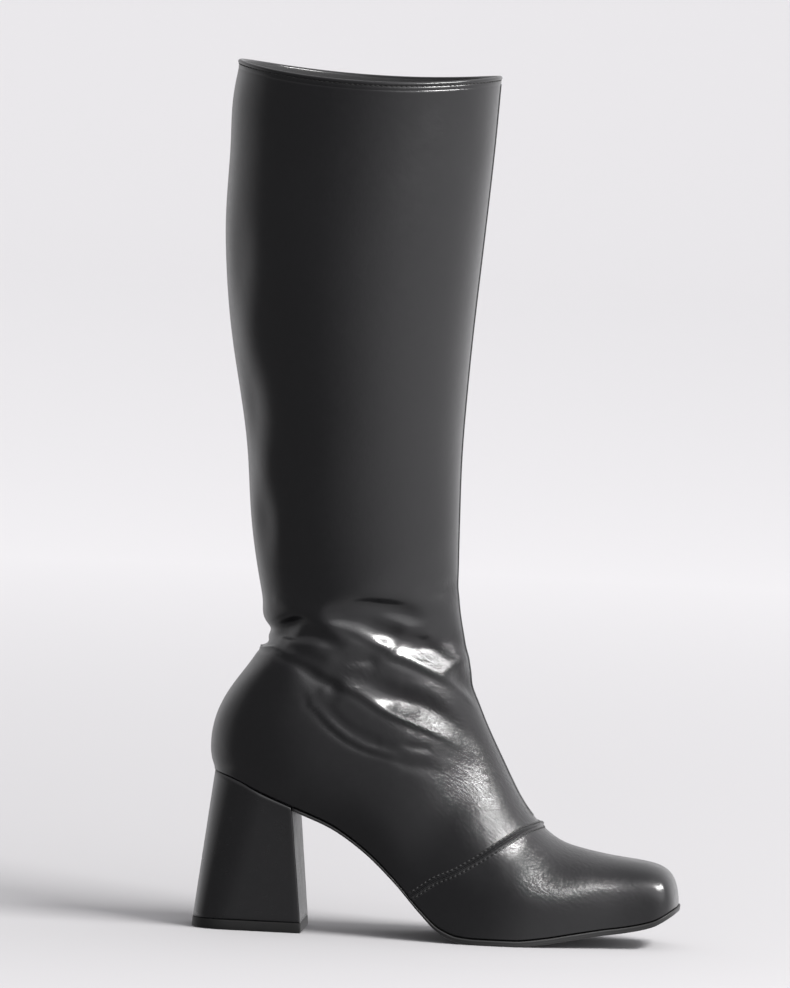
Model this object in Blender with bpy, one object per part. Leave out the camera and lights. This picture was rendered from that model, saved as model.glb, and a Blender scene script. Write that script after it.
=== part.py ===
"""Right knee-high boot: square toe, flared block heel, vamp seam, centre front seam and bound collar.

Frame: +X points to the toe, +Z up, -Y is the outer side of the foot. The boot stands on the plane z = 0,
with the origin under the middle of its bounding box. While it is modelled, x runs from the heel's back
(0) to the toe tip (LENGTH); the finished boot is then moved so that its box is centred.
"""

import math

import bmesh
import bpy
import numpy as np

# Driving sizes of the last and the leg, in metres.
LENGTH = 0.2540
BOOT_HEIGHT = 0.4635
HEEL_HEIGHT = 0.0850
TOE_SPRING = 0.0195
BALL_WIDTH = 0.0840
SEAT_WIDTH = 0.0580
TOE_WIDTH = 0.0500
TOE_BOX_HEIGHT = 0.0230
INSTEP_HEIGHT = 0.0590
ANKLE_WIDTH = 0.0780
CALF_WIDTH = 0.1120
COLLAR_WIDTH = 0.1080
COLLAR_TILT = 0.0030
COLLAR_DIP = 0.0055

# Material thicknesses and running clearances.
WALL = 0.0018
GAP = 0.0003
SOLE_GAP = 0.00045
HEEL_SEAT_GAP = 0.0004
LASTING_MARGIN = 0.0080
SOLE_THICKNESS = 0.0030
SHANK_THICKNESS = 0.0016
SOLE_OVERHANG = 0.0009
INSOLE_THICKNESS = 0.0025
INSOLE_CLEARANCE = 0.0014
INSOLE_GAP = 0.0005

# Heel block and its replaceable tip.
HEEL_TOP_LENGTH = 0.0475
HEEL_BOTTOM_LENGTH = 0.0592
HEEL_BOTTOM_WIDTH = 0.0490
HEEL_FLARE_BACK = 0.0080
HEEL_INSET = 0.0005
LIFT_HEIGHT = 0.0054

# Trim: the bound edge of the collar and the two raised seams.
BINDING_HEIGHT = 0.0034
BINDING_PROUD = 0.0006
SEAM_CLEARANCE = 0.00045
VAMP_SEAM_WIDTH = 0.0056
VAMP_SEAM_RISE = 0.0008
FRONT_SEAM_WIDTH = 0.0030
FRONT_SEAM_RISE = 0.0006

# Mesh density: columns over half a section, and the shortest step between rows along the foot.
HALF_COLUMNS = 16
SHORTEST_STEP = 0.0005

FEATHER_BASE = SOLE_THICKNESS + SOLE_GAP
SEAT_RISE = HEEL_HEIGHT - FEATHER_BASE
UPPER_TOP = BOOT_HEIGHT - BINDING_HEIGHT - GAP
LEG = UPPER_TOP - COLLAR_TILT - HEEL_HEIGHT

# Underside of the lasted upper. Columns: x as a share of LENGTH, rise as a share of SEAT_RISE.
SHANK_CURVE = (
    (0.000, 1.000),
    (0.060, 0.953),
    (0.130, 0.860),
    (0.200, 0.774),
    (0.270, 0.685),
    (0.340, 0.545),
    (0.410, 0.352),
    (0.465, 0.173),
    (0.510, 0.053),
    (0.550, 0.008),
    (0.585, 0.000),
    (1.000, 0.000),
)
# Columns: x as a share of LENGTH, lift as a share of TOE_SPRING.
SPRING_CURVE = (
    (0.000, 0.00),
    (0.665, 0.00),
    (0.730, 0.09),
    (0.785, 0.22),
    (0.845, 0.36),
    (0.900, 0.47),
    (0.950, 0.63),
    (1.000, 1.00),
)
# Plan of the feather line. Columns: x share of LENGTH, outer and inner half-widths in metres.
PLAN = (
    (0.000, 0.500 * SEAT_WIDTH, 0.500 * SEAT_WIDTH),
    (0.110, 0.500 * SEAT_WIDTH, 0.500 * SEAT_WIDTH),
    (0.200, 0.500 * SEAT_WIDTH, 0.480 * SEAT_WIDTH),
    (0.290, 0.500 * SEAT_WIDTH, 0.445 * SEAT_WIDTH),
    (0.370, 0.370 * BALL_WIDTH, 0.305 * BALL_WIDTH),
    (0.450, 0.420 * BALL_WIDTH, 0.340 * BALL_WIDTH),
    (0.530, 0.470 * BALL_WIDTH, 0.410 * BALL_WIDTH),
    (0.600, 0.490 * BALL_WIDTH, 0.465 * BALL_WIDTH),
    (0.670, 0.478 * BALL_WIDTH, 0.497 * BALL_WIDTH),
    (0.730, 0.440 * BALL_WIDTH, 0.495 * BALL_WIDTH),
    (0.800, 0.385 * BALL_WIDTH, 0.468 * BALL_WIDTH),
    (0.880, 0.540 * TOE_WIDTH, 0.690 * TOE_WIDTH),
    (0.950, 0.480 * TOE_WIDTH, 0.610 * TOE_WIDTH),
    (1.000, 0.455 * TOE_WIDTH, 0.565 * TOE_WIDTH),
)
HEEL_ROUND = 0.50 * SEAT_WIDTH
TOE_ROUND = 0.30 * TOE_WIDTH
TOE_SQUARENESS = 4.2
TOE_FLAT = 0.0020 * TOE_ROUND
TOE_CONVEX = 0.0022

# Top line of the boot from the toe tip up the front to the collar. Columns: x, height above the floor.
TOE_TIP = FEATHER_BASE + TOE_SPRING
FRONT_CURVE = (
    (1.0000 * LENGTH, TOE_TIP),
    (0.9990 * LENGTH, TOE_TIP + 0.17 * TOE_BOX_HEIGHT),
    (0.9955 * LENGTH, TOE_TIP + 0.38 * TOE_BOX_HEIGHT),
    (0.9870 * LENGTH, TOE_TIP + 0.62 * TOE_BOX_HEIGHT),
    (0.9730 * LENGTH, TOE_TIP + 0.79 * TOE_BOX_HEIGHT),
    (0.9510 * LENGTH, TOE_TIP + 0.90 * TOE_BOX_HEIGHT),
    (0.9130 * LENGTH, 0.940 * TOE_TIP + 1.040 * TOE_BOX_HEIGHT),
    (0.8520 * LENGTH, 0.470 * TOE_TIP + 1.590 * TOE_BOX_HEIGHT),
    (0.7950 * LENGTH, 0.850 * INSTEP_HEIGHT),
    (0.7500 * LENGTH, 0.910 * INSTEP_HEIGHT),
    (0.7100 * LENGTH, 1.030 * INSTEP_HEIGHT),
    (0.6670 * LENGTH, 1.010 * INSTEP_HEIGHT + 0.160 * HEEL_HEIGHT),
    (0.6270 * LENGTH, 1.010 * INSTEP_HEIGHT + 0.375 * HEEL_HEIGHT),
    (0.5880 * LENGTH, 1.000 * INSTEP_HEIGHT + 0.610 * HEEL_HEIGHT),
    (0.5550 * LENGTH, HEEL_HEIGHT + 0.124 * LEG),
    (0.5335 * LENGTH, HEEL_HEIGHT + 0.182 * LEG),
    (0.5140 * LENGTH, HEEL_HEIGHT + 0.243 * LEG),
    (0.5070 * LENGTH, HEEL_HEIGHT + 0.310 * LEG),
    (0.5050 * LENGTH, HEEL_HEIGHT + 0.385 * LEG),
    (0.5045 * LENGTH, HEEL_HEIGHT + 0.460 * LEG),
    (0.5090 * LENGTH, HEEL_HEIGHT + 0.545 * LEG),
    (0.5170 * LENGTH, HEEL_HEIGHT + 0.640 * LEG),
    (0.5280 * LENGTH, HEEL_HEIGHT + 0.740 * LEG),
    (0.5380 * LENGTH, HEEL_HEIGHT + 0.830 * LEG),
    (0.5470 * LENGTH, HEEL_HEIGHT + 0.920 * LEG),
    (0.5530 * LENGTH, HEEL_HEIGHT + 1.000 * LEG),
)
# Back line from the heel seat to the collar. Columns: height, x.
BACK_CURVE = (
    (HEEL_HEIGHT + 0.000 * LEG, 0.0120 * LENGTH),
    (HEEL_HEIGHT + 0.012 * LEG, 0.0055 * LENGTH),
    (HEEL_HEIGHT + 0.030 * LEG, 0.0020 * LENGTH),
    (HEEL_HEIGHT + 0.060 * LEG, 0.0055 * LENGTH),
    (HEEL_HEIGHT + 0.090 * LEG, 0.0190 * LENGTH),
    (HEEL_HEIGHT + 0.120 * LEG, 0.0430 * LENGTH),
    (HEEL_HEIGHT + 0.150 * LEG, 0.0740 * LENGTH),
    (HEEL_HEIGHT + 0.178 * LEG, 0.0985 * LENGTH),
    (HEEL_HEIGHT + 0.205 * LEG, 0.1095 * LENGTH),
    (HEEL_HEIGHT + 0.235 * LEG, 0.1030 * LENGTH),
    (HEEL_HEIGHT + 0.290 * LEG, 0.0850 * LENGTH),
    (HEEL_HEIGHT + 0.370 * LEG, 0.0660 * LENGTH),
    (HEEL_HEIGHT + 0.460 * LEG, 0.0535 * LENGTH),
    (HEEL_HEIGHT + 0.540 * LEG, 0.0340 * LENGTH),
    (HEEL_HEIGHT + 0.620 * LEG, 0.0115 * LENGTH),
    (HEEL_HEIGHT + 0.710 * LEG, -0.0055 * LENGTH),
    (HEEL_HEIGHT + 0.800 * LEG, -0.0125 * LENGTH),
    (HEEL_HEIGHT + 0.900 * LEG, -0.0090 * LENGTH),
    (HEEL_HEIGHT + 0.965 * LEG, -0.0075 * LENGTH),
    (HEEL_HEIGHT + 1.000 * LEG + COLLAR_TILT, 0.0020 * LENGTH),
)
# Sections of the upper, each in a plane square to the side view. Columns:
# under  place on the underside, 0 at the toe tip and 1 at the heel seat, then 1 to 2 up the back line
# front  place along the front curve, 0 at the toe tip and 1 at the collar
# hug    how closely the widest line follows the plan, as a share of its half-width
# outer, inner  half-widths added to that, in metres
# waist  height of the widest line as a share of the section
# low, high  squareness of the section below and above it, 2 for an ellipse
# ridge  sideways place of the top line, in metres towards the inner side
SECTIONS = (
    (0.0000, 0.0000, 1.00, 0.0000, 0.0000, 0.30, 2.0, 3.6, 0.055 * TOE_WIDTH),
    (0.0040, 0.0120, 1.01, 0.0000, 0.0000, 0.30, 2.0, 3.5, 0.055 * TOE_WIDTH),
    (0.0140, 0.0260, 1.02, 0.0000, 0.0000, 0.30, 2.0, 3.4, 0.055 * TOE_WIDTH),
    (0.0330, 0.0420, 1.03, 0.0000, 0.0000, 0.31, 2.0, 3.2, 0.055 * TOE_WIDTH),
    (0.0650, 0.0590, 1.04, 0.0000, 0.0000, 0.33, 2.0, 3.0, 0.055 * TOE_WIDTH),
    (0.1200, 0.0860, 1.04, 0.0000, 0.0000, 0.35, 2.0, 2.7, 0.060 * TOE_WIDTH),
    (0.1950, 0.1170, 1.04, 0.0000, 0.0000, 0.34, 2.0, 2.4, 0.070 * TOE_WIDTH),
    (0.2700, 0.1450, 1.03, 0.0000, 0.0000, 0.33, 2.0, 2.15, 0.075 * TOE_WIDTH),
    (0.3400, 0.1790, 1.02, 0.0000, 0.0000, 0.31, 2.0, 2.0, 0.070 * TOE_WIDTH),
    (0.4100, 0.2150, 1.01, 0.0000, 0.0000, 0.28, 2.0, 1.9, 0.060 * TOE_WIDTH),
    (0.4780, 0.2560, 0.70, 0.145 * BALL_WIDTH, 0.135 * BALL_WIDTH, 0.27, 2.0, 1.9, 0.050 * TOE_WIDTH),
    (0.5450, 0.2950, 0.35, 0.275 * BALL_WIDTH, 0.258 * BALL_WIDTH, 0.28, 2.0, 1.9, 0.040 * TOE_WIDTH),
    (0.6250, 0.3330, 0.00, 0.445 * ANKLE_WIDTH, 0.415 * ANKLE_WIDTH, 0.31, 2.1, 1.95, 0.030 * TOE_WIDTH),
    (0.7120, 0.3620, 0.00, 0.448 * ANKLE_WIDTH, 0.428 * ANKLE_WIDTH, 0.36, 2.1, 2.0, 0.020 * TOE_WIDTH),
    (0.8080, 0.3890, 0.00, 0.455 * ANKLE_WIDTH, 0.442 * ANKLE_WIDTH, 0.38, 2.1, 2.0, 0.010 * TOE_WIDTH),
    (0.9100, 0.4130, 0.00, 0.465 * ANKLE_WIDTH, 0.455 * ANKLE_WIDTH, 0.378, 2.1, 2.0, 0.005 * TOE_WIDTH),
    (1.0000, 0.4340, 0.00, 0.472 * ANKLE_WIDTH, 0.466 * ANKLE_WIDTH, 0.380, 2.1, 2.0, 0.0000),
    (1.0400, 0.4540, 0.00, 0.480 * ANKLE_WIDTH, 0.475 * ANKLE_WIDTH, 0.395, 2.1, 2.0, 0.0000),
    (1.0900, 0.4760, 0.00, 0.486 * ANKLE_WIDTH, 0.483 * ANKLE_WIDTH, 0.43, 2.1, 2.0, 0.0000),
    (1.1450, 0.4990, 0.00, 0.492 * ANKLE_WIDTH, 0.490 * ANKLE_WIDTH, 0.46, 2.1, 2.0, 0.0000),
    (1.2050, 0.5250, 0.00, 0.500 * ANKLE_WIDTH, 0.500 * ANKLE_WIDTH, 0.48, 2.1, 2.0, 0.0000),
    (1.2900, 0.5640, 0.00, 0.535 * ANKLE_WIDTH, 0.535 * ANKLE_WIDTH, 0.49, 2.1, 2.0, 0.0000),
    (1.4000, 0.6220, 0.00, 0.420 * CALF_WIDTH, 0.425 * CALF_WIDTH, 0.48, 2.1, 2.0, 0.0000),
    (1.5200, 0.6900, 0.00, 0.462 * CALF_WIDTH, 0.470 * CALF_WIDTH, 0.48, 2.1, 2.0, 0.0000),
    (1.6500, 0.7690, 0.00, 0.492 * CALF_WIDTH, 0.503 * CALF_WIDTH, 0.48, 2.1, 2.0, 0.0000),
    (1.7800, 0.8510, 0.00, 0.500 * CALF_WIDTH, 0.508 * CALF_WIDTH, 0.49, 2.1, 2.0, 0.0000),
    (1.9000, 0.9310, 0.00, 0.505 * COLLAR_WIDTH, 0.510 * COLLAR_WIDTH, 0.50, 2.1, 2.0, 0.0000),
    (2.0000, 1.0000, 0.00, 0.500 * COLLAR_WIDTH, 0.500 * COLLAR_WIDTH, 0.50, 2.1, 2.0, 0.0000),
)
# Mesh rows between one section and the next.
ROWS_BETWEEN = (2, 2, 2, 2, 2, 2, 2, 2, 2, 2, 2, 2, 2, 2, 4, 6, 2, 2, 2, 2, 2, 2, 3, 3, 3, 2, 1)
HEEL_SECTION = 16
DIP_FROM = 25.0
CUP_FROM = 9.0
CUP_FULL = 13.5
# Where the vamp seam crosses the sections. Columns: share of the half section from the feather line
# to the top line, place among the sections.
VAMP_SEAM_ROUTE = (
    (0.00, 11.25),
    (0.14, 10.95),
    (0.30, 10.30),
    (0.50, 9.45),
    (0.70, 8.75),
    (0.88, 8.30),
    (1.00, 8.17),
)


def spline(rows, at):
    """Values at `at` of the natural cubic spline through rows of (key, value, value, ...)."""
    table = np.array(rows, float)
    keys, values = table[:, 0], table[:, 1:]
    steps = np.diff(keys)
    count = len(keys)
    matrix = np.eye(count)
    right = np.zeros((count, values.shape[1]))
    for i in range(1, count - 1):
        matrix[i, i - 1 : i + 2] = steps[i - 1], 2 * (steps[i - 1] + steps[i]), steps[i]
        right[i] = 6 * (np.diff(values[i : i + 2], axis=0) / steps[i] - np.diff(values[i - 1 : i + 1], axis=0) / steps[i - 1])
    bends = np.linalg.solve(matrix, right)
    at = np.clip(np.atleast_1d(np.asarray(at, float)), keys[0], keys[-1])
    i = np.clip(np.searchsorted(keys, at, side="right") - 1, 0, count - 2)
    h = steps[i][:, None]
    a = (keys[i + 1] - at)[:, None] / h
    b = 1 - a
    return a * values[i] + b * values[i + 1] + ((a**3 - a) * bends[i] + (b**3 - b) * bends[i + 1]) * h**2 / 6


def steady(rows, at):
    """Like spline, but it never passes a local high or low of its table: a monotone cubic."""
    table = np.array(rows, float)
    keys, values = table[:, 0], table[:, 1:]
    steps = np.diff(keys)[:, None]
    slopes = np.diff(values, axis=0) / steps
    tangents = np.zeros_like(values)
    same = slopes[:-1] * slopes[1:] > 0
    w1 = 2 * steps[1:] + steps[:-1]
    w2 = steps[1:] + 2 * steps[:-1]
    safe = np.where(same, slopes[:-1], 1), np.where(same, slopes[1:], 1)
    tangents[1:-1] = np.where(same, (w1 + w2) / (w1 / safe[0] + w2 / safe[1]), 0)
    tangents[0], tangents[-1] = slopes[0], slopes[-1]
    at = np.clip(np.atleast_1d(np.asarray(at, float)), keys[0], keys[-1])
    i = np.clip(np.searchsorted(keys, at, side="right") - 1, 0, len(keys) - 2)
    t = ((at - keys[i]) / (keys[i + 1] - keys[i]))[:, None]
    h = steps[i]
    return (
        (1 + 2 * t) * (1 - t) ** 2 * values[i]
        + t * (1 - t) ** 2 * h * tangents[i]
        + t * t * (3 - 2 * t) * values[i + 1]
        + t * t * (t - 1) * h * tangents[i + 1]
    )


def feather(x):
    """Height of the lasted upper's underside at x."""
    share = np.asarray(x, float) / LENGTH
    rise = steady(SHANK_CURVE, share.ravel())[:, 0]
    spring = steady(SPRING_CURVE, share.ravel())[:, 0]
    return (FEATHER_BASE + SEAT_RISE * rise + TOE_SPRING * spring).reshape(share.shape)


def plan(x):
    """Outer and inner half-widths of the feather line at x: round at the heel, square at the toe."""
    x = np.atleast_1d(np.asarray(x, float))
    widths = spline(PLAN, x / LENGTH)
    start = HEEL_SEAT_X
    into_heel = np.clip((start + HEEL_ROUND - x) / HEEL_ROUND, 0, 1)
    into_toe = np.clip((x - LENGTH + TOE_ROUND) / (TOE_ROUND + TOE_FLAT), 0, 1)
    heel = np.sqrt(1 - into_heel**2)
    toe = (1 - into_toe**TOE_SQUARENESS) ** (1 / TOE_SQUARENESS)
    return widths * (heel * toe)[:, None]


def toe_bend(points):
    """Bends the front of the toe so that its straight edge is slightly convex in plan."""
    near = np.clip((points[..., 0] - 0.80 * LENGTH) / (0.20 * LENGTH), 0, 1) ** 2
    middle = 0.055 * TOE_WIDTH
    side = (points[..., 1] - middle) / (0.5 * TOE_WIDTH)
    bent = points.copy()
    bent[..., 0] -= TOE_CONVEX * near * side**2
    bent[..., 2] += feather(bent[..., 0]) - feather(points[..., 0])
    return bent


HEEL_SEAT_X = BACK_CURVE[0][1]
_dense = np.linspace(0, 1, 801)


def arc_table(points):
    """Arc-length shares of a smooth curve through points, and the curve itself, as one table."""
    points = np.array(points, float)
    chord = np.concatenate([[0], np.cumsum(np.linalg.norm(np.diff(points, axis=0), axis=1))])
    curve = spline(np.column_stack([chord, points]), _dense * chord[-1])
    length = np.concatenate([[0], np.cumsum(np.linalg.norm(np.diff(curve, axis=0), axis=1))])
    return np.column_stack([length / length[-1], curve])


FRONT_TABLE = arc_table(FRONT_CURVE)


def front_point(share):
    return np.column_stack([np.interp(share, FRONT_TABLE[:, 0], FRONT_TABLE[:, i]) for i in (1, 2)])


def back_point(place):
    """Point on the underside (0 to 1, toe to heel seat) or on the back line (1 to 2, seat to collar)."""
    place = np.atleast_1d(np.asarray(place, float))
    under_x = LENGTH + (HEEL_SEAT_X - LENGTH) * np.clip(place, 0, 1)
    under = np.column_stack([under_x, feather(under_x)])
    low, high = BACK_CURVE[0][0], BACK_CURVE[-1][0]
    height = low + (high - low) * np.clip(place - 1, 0, 1)
    above = np.column_stack([spline(BACK_CURVE, height)[:, 0], height])
    return np.where((place <= 1)[:, None], under, above)


def half_section(width, foot, waist, low, high, cup):
    """(share of the height, half-width) from the feather line, or the back line, to the top line.

    With cup 0 the widest line lies at `waist` of the height; with cup 1 the section is the part of a
    closed oval above the feather line, which keeps the heel cup smooth behind the seat.
    """
    start = math.asin(min(0.999, foot / width) ** (low / 2))
    base = math.cos(start) ** (2 / low)
    flat = waist / max(base, 1e-6)
    oval = waist / (1 - waist * (1 - base))
    reach = flat + (oval - flat) * cup
    below = np.linspace(start, math.pi / 2, 160)
    above = np.linspace(math.pi / 2, math.pi, 160)[1:]
    up_low = reach * (base - np.abs(np.cos(below)) ** (2 / low))
    out_low = width * np.sin(below) ** (2 / low)
    up_high = reach * base + (1 - reach * base) * np.abs(np.cos(above)) ** (2 / high)
    out_high = width * np.abs(np.sin(above)) ** (2 / high)
    up, out = np.concatenate([up_low, up_high]), np.concatenate([out_low, out_high])
    out[-1] = 0
    return up, out


def section(place, shares):
    """Points of the outer surface on one section plane, at `shares` of each half, outer side first."""
    order = np.arange(len(SECTIONS))
    table = np.array(SECTIONS, float)
    under, front = steady(np.column_stack([order, table[:, :2]]), place)[0]
    hug, outer, inner, waist, low, high, ridge = spline(np.column_stack([table[:, 1], table[:, 2:]]), front)[0]
    bottom, top = back_point(under)[0], front_point([front])[0]
    along = top - bottom
    size = np.linalg.norm(along)
    feet = plan(bottom[0])[0] if under < 1 else (0.0, 0.0)
    cup = np.clip((place - CUP_FROM) / (CUP_FULL - CUP_FROM), 0, 1)
    cup = cup * cup * (3 - 2 * cup)
    dip = COLLAR_DIP * np.clip((place - DIP_FROM) / (len(SECTIONS) - 1 - DIP_FROM), 0, 1) ** 2
    halves = []
    for side, foot, own in ((-1, feet[0], outer), (1, feet[1], inner)):
        width = max(hug * foot + own, foot * 1.0005, 1e-6)
        up, out = half_section(width, foot, waist, low, high, cup)
        travel = np.concatenate([[0], np.cumsum(np.hypot(np.diff(up) * size, np.diff(out)))])
        up = np.interp(shares * travel[-1], travel, up)
        out = np.interp(shares * travel[-1], travel, out)
        x, z = bottom[0] + along[0] * up, bottom[1] + along[1] * up
        z = z - dip * (out / width) ** 2
        lean = ridge * up**2 if place < HEEL_SECTION else 0 * up
        halves.append(np.column_stack([x, side * out + lean, z]))
    outer_half, inner_half = halves
    return np.concatenate([outer_half, inner_half[-2::-1]])


def surface_point(place, share, side):
    """One point of the outer surface, at a share of one half of one section."""
    points = section(place, np.array([0.0, share, 1.0]))
    return points[1] if side < 0 else points[3]


def surface_normal(place, share, side):
    """Outward direction of the surface there."""
    step = 0.02
    a = surface_point(place + step, share, side) - surface_point(place - step, share, side)
    low, high = max(share - step, 0), min(share + step, 1)
    b = surface_point(place, high, side) - surface_point(place, low, side)
    if share > 1 - step:
        b = surface_point(place, 1 - step, -side) - surface_point(place, 1 - step, side)
    normal = np.cross(b, a) * -side
    return normal / np.linalg.norm(normal)


def row_places():
    """Places of the mesh rows among the sections, drawn together where the heel turns round."""
    places = []
    for i, rows in enumerate(ROWS_BETWEEN):
        power = 2 if i == HEEL_SECTION - 1 else 1
        places += [i + 1 - (1 - k / rows) ** power for k in range(rows)]
    return places + [len(SECTIONS) - 1]


def grid_normals(grid, closed_from):
    """Outward normals of a grid of rows of points; rows from closed_from on are closed loops."""
    normals = np.zeros_like(grid)
    rows, columns = grid.shape[:2]
    for i in range(rows):
        up = grid[min(i + 1, rows - 1)] - grid[max(i - 1, 0)]
        across = np.empty_like(up)
        across[1:-1] = grid[i, 2:] - grid[i, :-2]
        if i >= closed_from:
            across[0] = across[-1] = grid[i, 1] - grid[i, -2]
        else:
            across[0] = grid[i, 1] - grid[i, 0]
            across[-1] = grid[i, -1] - grid[i, -2]
        normals[i] = np.cross(across, up)
    return normals / np.maximum(np.linalg.norm(normals, axis=2, keepdims=True), 1e-12)


def inset(points, amount, height_above):
    """Points of the feather line moved in by `amount`, on the underside or above it."""
    moved = points.copy()
    moved[:, 0] = LENGTH / 2 + (points[:, 0] - LENGTH / 2) * (1 - amount / (LENGTH / 2))
    moved[:, 1] = points[:, 1] * (1 - amount / (BALL_WIDTH / 2))
    moved[:, 2] = feather(moved[:, 0]) + height_above
    return moved


def add_object(name, vertices, faces, material):
    mesh = bpy.data.meshes.new(name)
    vertices = toe_bend(vertices)
    mesh.from_pydata([tuple(v) for v in vertices], [], [tuple(f) for f in faces])
    work = bmesh.new()
    work.from_mesh(mesh)
    bmesh.ops.remove_doubles(work, verts=work.verts, dist=1e-6)
    bmesh.ops.recalc_face_normals(work, faces=work.faces)
    bmesh.ops.triangulate(work, faces=[f for f in work.faces if len(f.verts) > 4])
    work.to_mesh(mesh)
    work.free()
    mesh.materials.append(material)
    mesh.shade_smooth()
    mesh.set_sharp_from_angle(angle=math.radians(40))
    obj = bpy.data.objects.new(name, mesh)
    bpy.context.scene.collection.objects.link(obj)
    return obj


def make_upper(material):
    """One hollow wall: outer grid, inner grid a wall inside it, rim at the collar, margin underneath."""
    shares = np.linspace(0, 1, HALF_COLUMNS + 1)
    places = row_places()
    outer = np.array([section(p, shares) for p in places])
    heel_row = sum(ROWS_BETWEEN[:HEEL_SECTION])
    inner = outer - WALL * grid_normals(outer, heel_row)
    last = outer.shape[1] - 1
    loop = [(i, 0) for i in range(heel_row, 0, -1)]
    loop += [(0, j) for j in range(last + 1)]
    loop += [(i, last) for i in range(1, heel_row)]
    edge = np.array([outer[i, j] for i, j in loop])
    for (i, j), corner in zip(loop, inset(edge, WALL, WALL)):
        inner[i, j] = corner
    inner[heel_row:, last] = inner[heel_row:, 0]
    below, above = inset(edge, LASTING_MARGIN, 0.0), inset(edge, LASTING_MARGIN, WALL)
    rows, columns = outer.shape[:2]
    size = rows * columns
    vertices = np.concatenate([outer.reshape(-1, 3), inner.reshape(-1, 3), below, above])

    def at(i, j, layer=0):
        if i >= heel_row and j == last:
            j = 0
        return layer * size + i * columns + j

    faces = []
    for i in range(rows - 1):
        for j in range(last):
            quad = [(i, j), (i + 1, j), (i + 1, j + 1), (i, j + 1)]
            for layer in (0, 1):
                ring = list(dict.fromkeys(at(a, b, layer) for a, b in quad))
                faces.append(ring if layer == 0 else ring[::-1])
    for j in range(last):
        faces.append([at(rows - 1, j), at(rows - 1, j, 1), at(rows - 1, j + 1, 1), at(rows - 1, j + 1)])
    count = len(loop)
    for k in range(count):
        (i, j), (m, n) = loop[k], loop[(k + 1) % count]
        low, low_next = 2 * size + k, 2 * size + (k + 1) % count
        high, high_next = low + count, low_next + count
        faces.append([at(i, j), at(m, n), low_next, low])
        faces.append([low, low_next, high_next, high])
        faces.append([high, high_next, at(m, n, 1), at(i, j, 1)])
    used = sorted({v for f in faces for v in f})
    index = {v: k for k, v in enumerate(used)}
    return add_object("upper", vertices[used], [[index[v] for v in f] for f in faces], material)


def stack(name, rings, caps, material):
    """A solid from closed rings of equal length; caps are lists of faces on the first and last ring."""
    count = len(rings[0])
    faces = []
    for k in range(len(rings) - 1):
        for i in range(count):
            j = (i + 1) % count
            faces.append([k * count + i, k * count + j, (k + 1) * count + j, (k + 1) * count + i])
    top = (len(rings) - 1) * count
    for cap in caps:
        faces.append(list(cap))
        faces.append([top + v for v in reversed(cap)])
    return add_object(name, np.concatenate(rings), faces, material)


def paired_caps(count, across):
    """Faces of a cap whose ring runs `count` points up one side, `across` along the end, and back."""
    total = 2 * count + 2 * across
    caps = []
    for i in range(count - 1):
        caps.append([i, i + 1, 2 * count + across - 2 - i, 2 * count + across - 1 - i])
    end = list(range(count - 1, count + across + 1))
    caps.append(end)
    if across:
        caps.append([0] + [2 * count + across - 1 + k for k in range(across + 1)])
    return caps, total


def plan_ring(stations, grow, across):
    """Closed ring round the plan at the stations: outer side, toe edge, inner side, back edge."""
    sides = plan(stations)
    outer = np.column_stack([stations, -sides[:, 0]])
    inner = np.column_stack([stations, sides[:, 1]])[::-1]
    shares = np.linspace(0, 1, across + 2)[1:-1, None]
    toe = outer[-1] + (inner[0] - outer[-1]) * shares
    back = inner[-1] + (outer[0] - inner[-1]) * shares
    ring = np.concatenate([outer, toe, inner, back])
    tangent = np.roll(ring, -1, axis=0) - np.roll(ring, 1, axis=0)
    normal = np.column_stack([tangent[:, 1], -tangent[:, 0]])
    normal /= np.linalg.norm(normal, axis=1, keepdims=True)
    back_edge = np.arange(len(ring)) >= len(ring) - across
    normal[back_edge] = 0
    normal[0, 0] = normal[2 * len(stations) + across - 1, 0] = 0
    return ring + normal * grow


def foot_stations(start):
    """The x of the upper's own rows along the feather line, from `start` to the toe."""
    order = np.arange(len(SECTIONS))
    under = steady(np.column_stack([order, np.array(SECTIONS)[:, 0]]), row_places())[:, 0]
    x = LENGTH + (HEEL_SEAT_X - LENGTH) * under[under <= 1][::-1]
    return np.concatenate([[start], x[x > start + SHORTEST_STEP]])


def sole_thickness(x):
    share = np.clip((x / LENGTH - 0.44) / 0.14, 0, 1)
    blend = share * share * (3 - 2 * share)
    return SHANK_THICKNESS + (SOLE_THICKNESS - SHANK_THICKNESS) * blend


def make_outsole(material):
    """Thin sole from the heel breast to the toe, with a rounded edge and a flat tread under the ball."""
    # Columns: how far the edge stands out beyond the feather line, depth as a share of the thickness.
    edge = ((0.2, 0.0), (1.0, 0.22), (0.9, 0.62), (-0.4, 1.0))
    across = 5
    stations = foot_stations(HEEL_TOP_LENGTH + GAP)
    rings = []
    for out, depth in edge:
        ring = plan_ring(stations, SOLE_OVERHANG * out, across)
        height = feather(ring[:, 0]) - SOLE_GAP - depth * sole_thickness(ring[:, 0])
        rings.append(np.column_stack([ring, height]))
    caps, _ = paired_caps(len(stations), across)
    return stack("outsole", rings, caps, material)


def make_insole(material):
    """Sock-lined board that lies on the lasting margin, inside the upper."""
    across = 5
    stations = foot_stations(HEEL_SEAT_X + 2 * GAP)
    ring = plan_ring(stations, 0.0, across)
    base = np.column_stack([ring, np.zeros(len(ring))])
    bottom = inset(base, WALL + INSOLE_CLEARANCE, WALL + INSOLE_GAP)
    top = bottom + np.array([0, 0, INSOLE_THICKNESS])
    caps, _ = paired_caps(len(stations), across)
    return stack("insole", [bottom, top], caps, material)


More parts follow.
